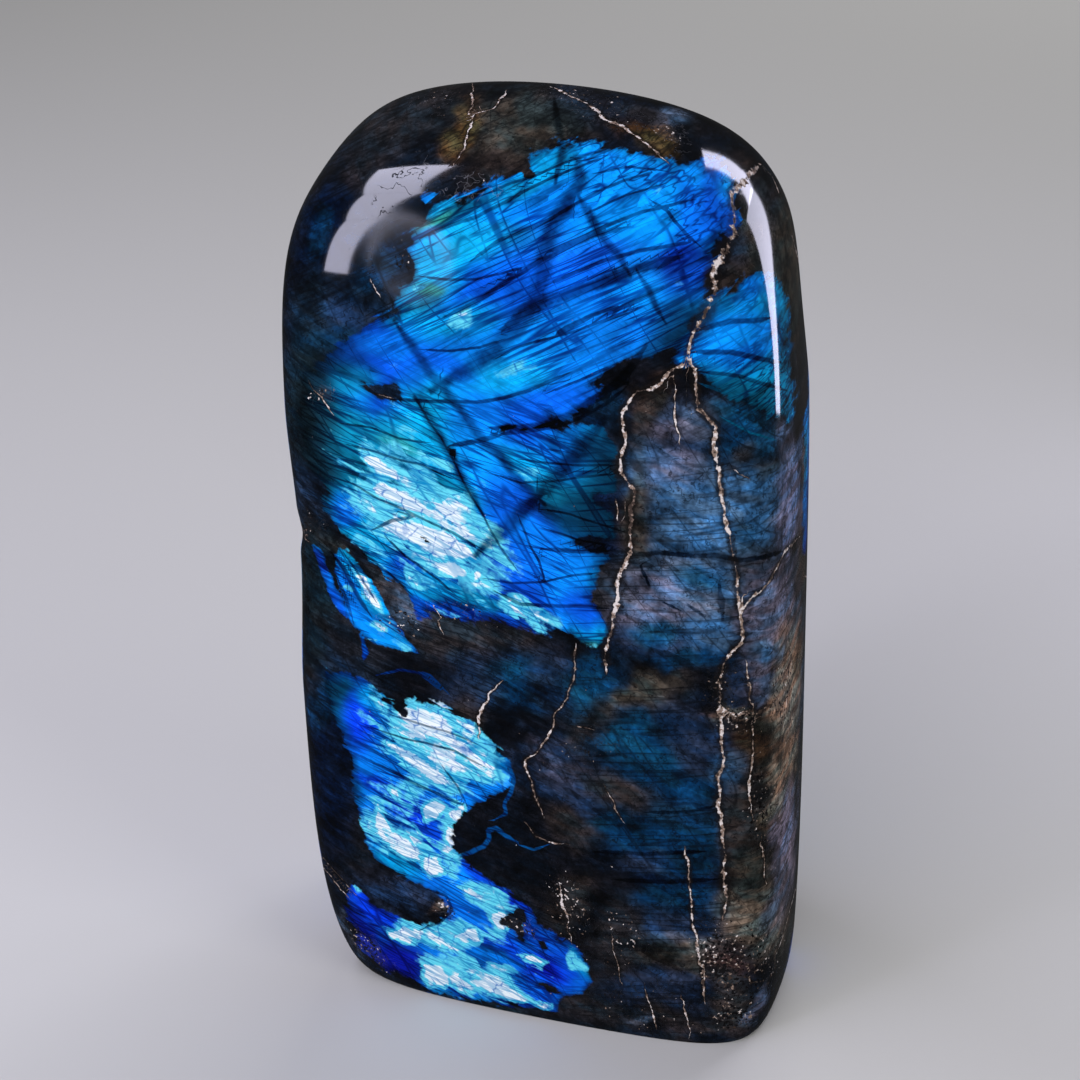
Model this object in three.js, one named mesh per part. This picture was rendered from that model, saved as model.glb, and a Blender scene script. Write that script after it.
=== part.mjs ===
import * as THREE from "three";

// A labradorite freeform: one piece of feldspar, sawn flat underneath so that it
// stands, ground by hand to an upright block with soft shoulders, and polished all
// over. Millimetres, +Z up. The bright face looks towards -Y and the origin is the
// middle of the flat base.

// Real size of the stone.
const WIDTH = 85;
const DEPTH = 57;
const HEIGHT = 156;

// The point inside the stone that every ground face is measured from, above the base.
const CORE_HEIGHT = 80;

// The faces that were ground on the block. turn is the way a face looks, in degrees
// from the front, positive to the right; tilt is how far it looks up; reach is how far
// it would lie from the core if its edges had been left sharp.
const GROUND_FACES = [
  { name: "front", turn: 0, tilt: 0, reach: 26 },
  { name: "back, leaning in towards the top", turn: 180, tilt: 5, reach: 24.5 },
  { name: "right side", turn: 90, tilt: 2, reach: 47 },
  { name: "left side", turn: -90, tilt: -1, reach: 35.5 },
  { name: "top", turn: 0, tilt: 90, reach: 89 },
  { name: "left shoulder", turn: -90, tilt: 42, reach: 76 },
  { name: "right shoulder", turn: 90, tilt: 42, reach: 79 },
  { name: "right of the crown", turn: 90, tilt: 62, reach: 106 },
  { name: "front of the crown", turn: 0, tilt: 60, reach: 69 },
  { name: "back of the crown", turn: 180, tilt: 60, reach: 84 },
  { name: "lower left side", turn: -90, tilt: -35, reach: 79 },
  { name: "lower right side", turn: 90, tilt: -35, reach: 105 },
  { name: "lower left corner", turn: -50, tilt: -50, reach: 90 },
  { name: "front left edge", turn: -35, tilt: 0, reach: 49 },
  { name: "front right edge", turn: 35, tilt: 0, reach: 53 },
  { name: "back right edge", turn: 140, tilt: 0, reach: 46.5 },
  { name: "back left edge", turn: -148, tilt: 4, reach: 38 },
];

// How tightly the ground faces run into each other. A higher power is a tighter edge.
const FACE_BLEND = 8;

// The rim of the base is only rubbed down. Its sharp edge would lie this far below the
// sawn flat, and its blend is much tighter.
const RIM_BELOW_BASE = 1;
const RIM_BLEND = 40;

// Shallow places where the grinding dipped or a soft inclusion plucked out. turn and
// tilt say where they lie as seen from the core; across and depth are their real size.
const HOLLOWS = [
  { name: "dip in the left edge", turn: -60, tilt: 4, across: 52, depth: 1.1 },
  { name: "chip in the left edge", turn: -60, tilt: 9, across: 9, depth: 0.7 },
  { name: "dip high in the right side", turn: 103, tilt: 45, across: 34, depth: 0.7 },
  { name: "pit under the left shoulder", turn: -28, tilt: 63, across: 9, depth: 0.5 },
  { name: "plucked patch, low right", turn: 60, tilt: -53, across: 14, depth: 0.8 },
  { name: "plucked patch by the foot", turn: 62, tilt: -57, across: 8, depth: 0.6 },
  { name: "pit in the lower middle", turn: 13, tilt: -66, across: 9, depth: 0.5 },
  { name: "natural hollow in the back", turn: 168, tilt: -22, across: 26, depth: 1.4 },
];

// The mesh: points around, rings from the rim of the base to the crown, and how far up
// the first step the extra rings of the rubbed rim lie.
const AROUND = 96;
const RINGS = 40;
const RIM_RINGS = [0.2, 0.5];

const degrees = THREE.MathUtils.degToRad;
const core = new THREE.Vector3(0, 0, CORE_HEIGHT);

// A unit vector that looks turn degrees from the front and tilt degrees up.
function looking(turn, tilt) {
  const level = Math.cos(degrees(tilt));
  return new THREE.Vector3(
    Math.sin(degrees(turn)) * level,
    -Math.cos(degrees(turn)) * level,
    Math.sin(degrees(tilt)),
  );
}

const faces = GROUND_FACES.map((face) => ({
  normal: looking(face.turn, face.tilt),
  reach: face.reach,
}));

// How many times a ray from the core has to be divided by to end on the stone. Each
// ground face that it runs towards counts, and the power lets the nearest one rule.
function overshoot(ray) {
  let sum = 0;
  for (const { normal, reach } of faces) {
    sum += Math.max(0, ray.dot(normal) / reach) ** FACE_BLEND;
  }
  const ground = sum ** (1 / FACE_BLEND);
  const rim = Math.max(0, -ray.z / (CORE_HEIGHT + RIM_BELOW_BASE));
  return (ground ** RIM_BLEND + rim ** RIM_BLEND) ** (1 / RIM_BLEND);
}

// The stone's surface where a ray from the core leaves it, before any hollow.
function groundPoint(ray) {
  return core.clone().addScaledVector(ray, 1 / overshoot(ray));
}

// The outward normal there: the mean of the ground faces, weighed as in overshoot.
function groundNormal(ray) {
  const normal = new THREE.Vector3();
  for (const face of faces) {
    const share = Math.max(0, ray.dot(face.normal) / face.reach);
    normal.addScaledVector(face.normal, share ** (FACE_BLEND - 1) / face.reach);
  }
  return normal.normalize();
}

const bowls = HOLLOWS.map((hollow) => {
  const ray = looking(hollow.turn, hollow.tilt);
  return {
    middle: groundPoint(ray),
    inward: groundNormal(ray).negate(),
    radius: hollow.across / 2,
    depth: hollow.depth,
  };
});

// The finished surface: the ground one, let in by each bowl that it lies in.
function surfacePoint(ray) {
  const point = groundPoint(ray);
  const finished = point.clone();
  for (const { middle, inward, radius, depth } of bowls) {
    const away = point.distanceTo(middle) / radius;
    if (away < 1) finished.addScaledVector(inward, depth * (1 - away ** 2) ** 2);
  }
  return finished;
}

// A ray at this place around the stone and this slope, spread so that the points lie
// evenly on a block that is taller than wide and wider than deep.
function rayAt(around, slope) {
  const level = Math.cos(slope);
  return new THREE.Vector3(
    (Math.sin(around) * level * WIDTH) / 2,
    (-Math.cos(around) * level * DEPTH) / 2,
    (Math.sin(slope) * HEIGHT) / 2,
  );
}

// The slope at which the surface comes down to the sawn flat, found by halving.
function rimSlope(around) {
  let below = -Math.PI / 2;
  let above = 0;
  for (let i = 0; i < 40; i += 1) {
    const middle = (below + above) / 2;
    if (groundPoint(rayAt(around, middle)).z < 0) below = middle;
    else above = middle;
  }
  return above;
}

function stoneGeometry() {
  const steps = [0, ...RIM_RINGS];
  for (let ring = 1; ring < RINGS; ring += 1) steps.push(ring);

  const points = [];
  for (const step of steps) {
    for (let i = 0; i < AROUND; i += 1) {
      const around = (i / AROUND) * 2 * Math.PI;
      const lowest = rimSlope(around);
      const slope = lowest + ((Math.PI / 2 - lowest) * step) / RINGS;
      const point = surfacePoint(rayAt(around, slope));
      if (step === 0) point.z = 0;
      points.push(point);
    }
  }
  const baseMiddle = points.push(new THREE.Vector3(0, 0, 0)) - 1;
  const crown = points.push(surfacePoint(new THREE.Vector3(0, 0, 1))) - 1;

  const triangles = [];
  const topRing = (steps.length - 1) * AROUND;
  for (let i = 0; i < AROUND; i += 1) {
    const next = (i + 1) % AROUND;
    triangles.push(baseMiddle, next, i);
    for (let low = 0; low < topRing; low += AROUND) {
      const high = low + AROUND;
      triangles.push(low + i, low + next, high + next);
      triangles.push(low + i, high + next, high + i);
    }
    triangles.push(topRing + i, topRing + next, crown);
  }

  const geometry = new THREE.BufferGeometry().setFromPoints(points);
  geometry.setIndex(triangles);
  return geometry;
}

// Brings the stone to its real size, with the origin in the middle of its base.
function toRealSize(geometry) {
  geometry.computeBoundingBox();
  const box = geometry.boundingBox;
  const size = box.getSize(new THREE.Vector3());
  const middle = box.getCenter(new THREE.Vector3());
  geometry.translate(-middle.x, -middle.y, -box.min.z);
  geometry.scale(WIDTH / size.x, DEPTH / size.y, HEIGHT / size.z);
  geometry.computeVertexNormals();
  return geometry;
}

const labradorite = new THREE.MeshStandardMaterial({
  color: 0x2b5f78,
  roughness: 0.12,
  metalness: 0,
});

const stone = new THREE.Mesh(toRealSize(stoneGeometry()), labradorite);
stone.name = "labradorite_stone";

const freeform = new THREE.Group();
freeform.add(stone);

export default freeform;
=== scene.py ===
import math

import bpy
import numpy as np
from mathutils import Matrix, Vector, kdtree


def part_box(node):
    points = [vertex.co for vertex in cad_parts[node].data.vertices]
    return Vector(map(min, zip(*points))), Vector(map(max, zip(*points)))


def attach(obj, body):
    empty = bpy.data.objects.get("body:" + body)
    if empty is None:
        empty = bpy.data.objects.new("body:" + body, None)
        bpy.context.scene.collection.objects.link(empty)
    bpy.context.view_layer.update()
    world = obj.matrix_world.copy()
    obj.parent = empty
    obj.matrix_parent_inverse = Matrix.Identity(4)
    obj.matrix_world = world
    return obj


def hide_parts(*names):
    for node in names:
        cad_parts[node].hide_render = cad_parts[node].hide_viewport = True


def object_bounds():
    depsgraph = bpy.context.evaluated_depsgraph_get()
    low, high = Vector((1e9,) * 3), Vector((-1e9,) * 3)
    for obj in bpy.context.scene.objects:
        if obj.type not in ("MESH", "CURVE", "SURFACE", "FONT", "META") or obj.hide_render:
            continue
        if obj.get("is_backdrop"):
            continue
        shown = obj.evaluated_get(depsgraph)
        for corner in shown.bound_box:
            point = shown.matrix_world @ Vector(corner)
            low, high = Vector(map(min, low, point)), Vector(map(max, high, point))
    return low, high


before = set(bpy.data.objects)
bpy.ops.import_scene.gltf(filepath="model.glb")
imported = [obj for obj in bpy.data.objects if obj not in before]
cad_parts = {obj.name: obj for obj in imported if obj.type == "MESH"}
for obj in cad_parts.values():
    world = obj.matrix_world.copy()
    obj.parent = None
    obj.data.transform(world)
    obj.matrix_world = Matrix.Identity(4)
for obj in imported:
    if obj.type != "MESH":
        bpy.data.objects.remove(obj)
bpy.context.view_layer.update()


# The camera looks down on the stone from the front, a little to its right, with a long
# lens, as in the photo. The photo is 1080 pixels square, so the lens follows from how
# many pixels long its focal length is there. Millimetres, like the stone's own sizes.
MM = 0.001
PHOTO_PX = 1080
FOCAL_PX = 2266
SENSOR = 36
CAMERA_TURN = 16.6
CAMERA_TILT = 25.0
CAMERA_DISTANCE = 388.5
LOOKED_AT = np.array([-5.1, 0.0, 78.7])
NEAREST_SEEN = 10
FARTHEST_SEEN = 20_000


def direction(turn, tilt):
    """A unit vector that looks turn degrees from the front, to the right, and tilt up."""
    turn, tilt = np.radians(turn), np.radians(tilt)
    level = np.cos(tilt)
    return np.stack([np.sin(turn) * level, -np.cos(turn) * level, np.sin(tilt)], axis=-1)


towards_camera = direction(CAMERA_TURN, CAMERA_TILT)
camera_place = LOOKED_AT + CAMERA_DISTANCE * towards_camera
camera_right = np.cross([0, 0, 1], towards_camera)
camera_right /= np.linalg.norm(camera_right)
camera_up = np.cross(towards_camera, camera_right)

camera = bpy.data.objects.new("camera", bpy.data.cameras.new("camera"))
camera.location = Vector(camera_place * MM)
camera.rotation_euler = Vector(-towards_camera).to_track_quat("-Z", "Y").to_euler()
camera.data.sensor_width = SENSOR
camera.data.lens = SENSOR * FOCAL_PX / PHOTO_PX
camera.data.clip_start = NEAREST_SEEN * MM
camera.data.clip_end = FARTHEST_SEEN * MM
bpy.context.collection.objects.link(camera)
bpy.context.scene.camera = camera
bpy.context.scene.view_settings.view_transform = "Standard"


# The stone is one piece of labradorite, a feldspar. It was sawn flat underneath, ground
# on a wheel to an upright block with soft shoulders, and polished all over, so its form
# is a set of ground faces that run softly into each other.
STONE_NODE = "labradorite_stone"
# The point that the ground faces are measured from lies this high above the base.
CORE_HEIGHT = 80
# Each ground face looks turn degrees to the right of the front and tilt degrees up, and
# would lie reach mm from the core if its edges had been left sharp.
GROUND_FACES = [
    ("front", 0, 0, 26),
    ("back", 180, 5, 24.5),
    ("right side", 90, 2, 47),
    ("left side", -90, -1, 35.5),
    ("top", 0, 90, 89),
    ("left shoulder", -90, 42, 76),
    ("right shoulder", 90, 42, 79),
    ("right of the crown", 90, 62, 106),
    ("front of the crown", 0, 60, 69),
    ("back of the crown", 180, 60, 84),
    ("lower left side", -90, -35, 79),
    ("lower right side", 90, -35, 105),
    ("lower left corner", -50, -50, 90),
    ("front left edge", -35, 0, 49),
    ("front right edge", 35, 0, 53),
    ("back right edge", 140, 0, 46.5),
    ("back left edge", -148, 4, 38),
]
# How tightly the faces run into each other: a higher power is a tighter edge. The rim of
# the base is only rubbed down, and its sharp edge would lie a little below the flat.
FACE_BLEND = 8
RIM_BELOW_BASE = 1
RIM_BLEND = 40
# Shallow places: where each lies as seen from the core, its width across and its depth.
HOLLOWS = [
    ("dip in the left edge", -60, 4, 52, 1.1),
    ("chip in the left edge", -60, 9, 9, 0.7),
    ("dip high in the right side", 103, 45, 34, 0.7),
    ("pit under the left shoulder", -28, 63, 9, 0.5),
    ("plucked patch, low right", 60, -53, 14, 0.8),
    ("plucked patch by the foot", 62, -57, 8, 0.6),
    ("pit in the lower middle", 13, -66, 9, 0.5),
    ("natural hollow in the back", 168, -22, 26, 1.4),
]

face_normals = np.array([direction(turn, tilt) for _, turn, tilt, _ in GROUND_FACES])
face_reaches = np.array([reach for *_, reach in GROUND_FACES])
stone_low, stone_high = (np.array(corner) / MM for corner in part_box(STONE_NODE))
stone_size = stone_high - stone_low


def ground_points(rays):
    """Where rays from the core leave the ground stone. The core is the origin."""
    shares = np.maximum(0, rays @ face_normals.T / face_reaches)
    ground = (shares**FACE_BLEND).sum(-1) ** (1 / FACE_BLEND)
    rim = np.maximum(0, -rays[..., 2] / (CORE_HEIGHT + RIM_BELOW_BASE))
    overshoot = (ground**RIM_BLEND + rim**RIM_BLEND) ** (1 / RIM_BLEND)
    return rays / overshoot[..., None]


def ground_normals(rays):
    """The outward normals there: the ground faces' mean, weighed by how near each is."""
    shares = np.maximum(0, rays @ face_normals.T / face_reaches)
    summed = (shares ** (FACE_BLEND - 1) / face_reaches) @ face_normals
    return summed / np.linalg.norm(summed, axis=-1, keepdims=True)


def finished_points(rays):
    """The finished surface: the ground one, let in by each hollow."""
    ground = ground_points(rays)
    finished = ground.copy()
    for _, turn, tilt, across, depth in HOLLOWS:
        middle = direction(turn, tilt)
        away = np.linalg.norm(ground - ground_points(middle), axis=-1) / (across / 2)
        bowl = depth * np.maximum(0, 1 - away**2) ** 2
        finished -= bowl[:, None] * ground_normals(middle)
    return finished


def rays_at(around, slope):
    """Rays from the core at these angles, in radians, spread to the stone's proportions."""
    level = np.cos(slope)
    spread = np.stack([np.sin(around) * level, -np.cos(around) * level, np.sin(slope)], axis=-1)
    return spread * stone_size / 2


HALVINGS = 40


def rim_slopes(around):
    """The slopes at which the surface comes down to the sawn flat, found by halving."""
    below, above = np.full_like(around, -np.pi / 2), np.zeros_like(around)
    for _ in range(HALVINGS):
        middle = (below + above) / 2
        under = ground_points(rays_at(around, middle))[:, 2] < -CORE_HEIGHT
        below, above = np.where(under, middle, below), np.where(under, above, middle)
    return above


def evenly(parameter, weight, count):
    """count values of parameter, with equal shares of the weight between them."""
    total = np.concatenate([[0], np.cumsum((weight[1:] + weight[:-1]) / 2)])
    return np.interp(np.linspace(0, total[-1], count), total, parameter)


# The mesh has this many points around and rings up, and is finer on the bright face.
AROUND = 340
RINGS = 289
EXTRA_ON_FRONT = 2.2
FINE_STEPS = 2000

fine_turns = np.linspace(-np.pi, np.pi, FINE_STEPS)
girth = ground_points(rays_at(fine_turns, np.zeros_like(fine_turns)))
girth_steps = np.linalg.norm(np.gradient(girth, axis=0), axis=1)
to_front = np.maximum(0, -ground_normals(girth)[:, 1])
around = evenly(fine_turns, girth_steps * (1 + EXTRA_ON_FRONT * to_front), AROUND + 1)[:-1]
fine_slopes = np.linspace(rim_slopes(np.zeros(1))[0], np.pi / 2, FINE_STEPS)
profile = ground_points(rays_at(np.zeros_like(fine_slopes), fine_slopes))
climb = np.linalg.norm(np.gradient(profile, axis=0), axis=1)
rise = evenly(np.linspace(0, 1, len(fine_slopes)), climb, RINGS + 1)[:-1]

# Rings of rays from the rim up, then one to the crown and one to the middle of the base.
# The lowest ring and the last point lie on the sawn flat.
lowest = rim_slopes(around)
wall_rays = rays_at(around, lowest + (np.pi / 2 - lowest) * rise[:, None]).reshape(-1, 3)
rays = np.concatenate([wall_rays, [[0, 0, 1], [0, 0, -1]]])
formula_points = finished_points(rays)
formula_points[:AROUND, 2] = -CORE_HEIGHT
formula_points[-1] = [0, 0, -CORE_HEIGHT]
formula_low, formula_high = formula_points.min(0), formula_points.max(0)


def real_size(points):
    """Brings points of the formula to the stone's real size and place, in mm."""
    return stone_low + (points - formula_low) * stone_size / (formula_high - formula_low)


places = real_size(formula_points)
normals = ground_normals(rays)
normals[-1] = [0, 0, -1]

in_ring = np.arange(AROUND)
next_in_ring = (in_ring + 1) % AROUND
quads = []
for low in range(0, (RINGS - 1) * AROUND, AROUND):
    high = low + AROUND
    quads += zip(low + in_ring, low + next_in_ring, high + next_in_ring, high + in_ring)
crown, base_middle = RINGS * AROUND, RINGS * AROUND + 1
crown_fan = [(crown - AROUND + i, crown - AROUND + j, crown) for i, j in zip(in_ring, next_in_ring)]
base_fan = [(base_middle, j, i) for i, j in zip(in_ring, next_in_ring)]


# What grew in the stone is placed by where the photo shows it, in the photo's pixels, of
# which one is 0.171 mm on the stone. shown is 1 where the photo shows the surface and 0
# where it can't, and the markings of the far side are made up from soft noise instead.
PX = 0.171


def photo_place(points):
    """Where points of the stone are seen in the photo."""
    ray = points - camera_place
    depth = -(ray @ towards_camera)
    across = FOCAL_PX * (ray @ camera_right) / depth
    up = FOCAL_PX * (ray @ camera_up) / depth
    return np.stack([PHOTO_PX / 2 + across, PHOTO_PX / 2 - up], axis=-1)


def smooth_step(low, high, value):
    """0 below low, 1 above high, and smooth between."""
    part = np.clip((value - low) / (high - low), 0, 1)
    return part * part * (3 - 2 * part)


# Random values lie on a cubic lattice of so many a side, which repeats past its end.
LATTICE = 24
LATTICE_START = 7


def mottle(points, size, seed):
    """Soft random values from 0 to 1, in patches about size mm across."""
    lattice = np.random.default_rng(seed).random((LATTICE, LATTICE, LATTICE))
    at = points / size + LATTICE_START
    cell = np.floor(at).astype(int)
    part = at - cell
    part = part * part * (3 - 2 * part)
    value = np.zeros(len(points))
    for corner in np.ndindex(2, 2, 2):
        share = np.prod(np.where(corner, part, 1 - part), axis=1)
        value += share * lattice[tuple(((cell + corner) % LATTICE).T)]
    return value


# The finer shifts of a wandering edge are so many times as small and this strong.
FINER = 2.5
FINER_SHARE = 0.5


def wander(points, size, seed, *, axes):
    """Random shifts from -1 to 1 along so many axes, coarse ones with finer ones on them."""
    shifts = []
    for i in range(axes):
        coarse = mottle(points, size, seed + i)
        fine = mottle(points, size / FINER, seed + 10 + i)
        shifts.append(coarse + FINER_SHARE * fine)
    mean = (1 + FINER_SHARE) / 2
    return (np.stack(shifts, axis=-1) - mean) / mean


seen_at = photo_place(places)
to_eye = camera_place - places
facing = (to_eye * normals).sum(1) / np.linalg.norm(to_eye, axis=1)
# From wholly unseen to well seen, as the cosine between the sight and the surface.
IN_SIGHT = (0.04, 0.2)
shown = smooth_step(*IN_SIGHT, facing)


def outline_depth(outline, at):
    """How many pixels each place lies inside a closed outline, and below 0 outside it."""
    corners = np.array([*outline, outline[0]], float)
    inside = np.zeros(len(at), bool)
    nearest = np.full(len(at), np.inf)
    for (x1, y1), (x2, y2) in zip(corners[:-1], corners[1:]):
        run = np.array([x2 - x1, y2 - y1])
        along = np.clip((at - (x1, y1)) @ run / (run @ run), 0, 1)
        nearest = np.minimum(nearest, np.linalg.norm(at - (x1, y1) - along[:, None] * run, axis=1))
        if y1 != y2:
            crossed = (at[:, 1] < y1) != (at[:, 1] < y2)
            inside ^= crossed & (at[:, 0] < x1 + (at[:, 1] - y1) * (x2 - x1) / (y2 - y1))
    return np.where(inside, nearest, -nearest)


DAB_FALL = 0.9


def dab(at, x, y, long, short, lean):
    """1 in the middle of a soft oval of this length and width, and 0 outside it. lean is
    how far the oval rises to the right, in degrees."""
    lean = math.radians(lean)
    dx, dy = at[:, 0] - x, y - at[:, 1]
    along = (dx * math.cos(lean) + dy * math.sin(lean)) / (long / 2)
    off = (dy * math.cos(lean) - dx * math.sin(lean)) / (short / 2)
    return np.exp(-DAB_FALL * (along**2 + off**2) ** 2)


def linear(hex_colour):
    """An sRGB hex colour as linear red, green and blue."""
    values = [int(hex_colour[i:i + 2], 16) / 255 for i in (1, 3, 5)]
    return np.array([v / 12.92 if v <= 0.04045 else ((v + 0.055) / 1.055) ** 2.4 for v in values])


def lay_on(colours, patches, at):
    """Lays patches of colour over colours, each softly over those before it."""
    for colour, x, y, long, short, lean, strength in patches:
        share = strength * shown * dab(at, x, y, long, short, lean)
        colours += (colour - colours) * share[:, None]


# The body of the stone is dark feldspar, a little translucent. It is smoky brown-grey
# where it is clearest, slate and lavender where some of the colour play comes through,
# and tan to rust where iron has stained it.
NEAR_BLACK = linear("#0a0d14")
BLUE_BLACK = linear("#04122a")
SMOKE = linear("#29292c")
BROWN_SMOKE = linear("#302b29")
SLATE = linear("#212f48")
GREY_BLUE = linear("#5a667b")
LAVENDER = linear("#42688f")
PALE_LAVENDER = linear("#63657d")
EDGE_LAVENDER = linear("#7c81a6")
TEAL_BLACK = linear("#0e2028")
DIM_TEAL = linear("#06304e")
TEAL_GLOW = linear("#0a4363")
OLIVE = linear("#3c3933")
TAN = linear("#a18672")
BEIGE = linear("#70675d")
RUST = linear("#30201f")
GOLD = linear("#664c2c")
DARK_GOLD = linear("#3c2913")

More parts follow.
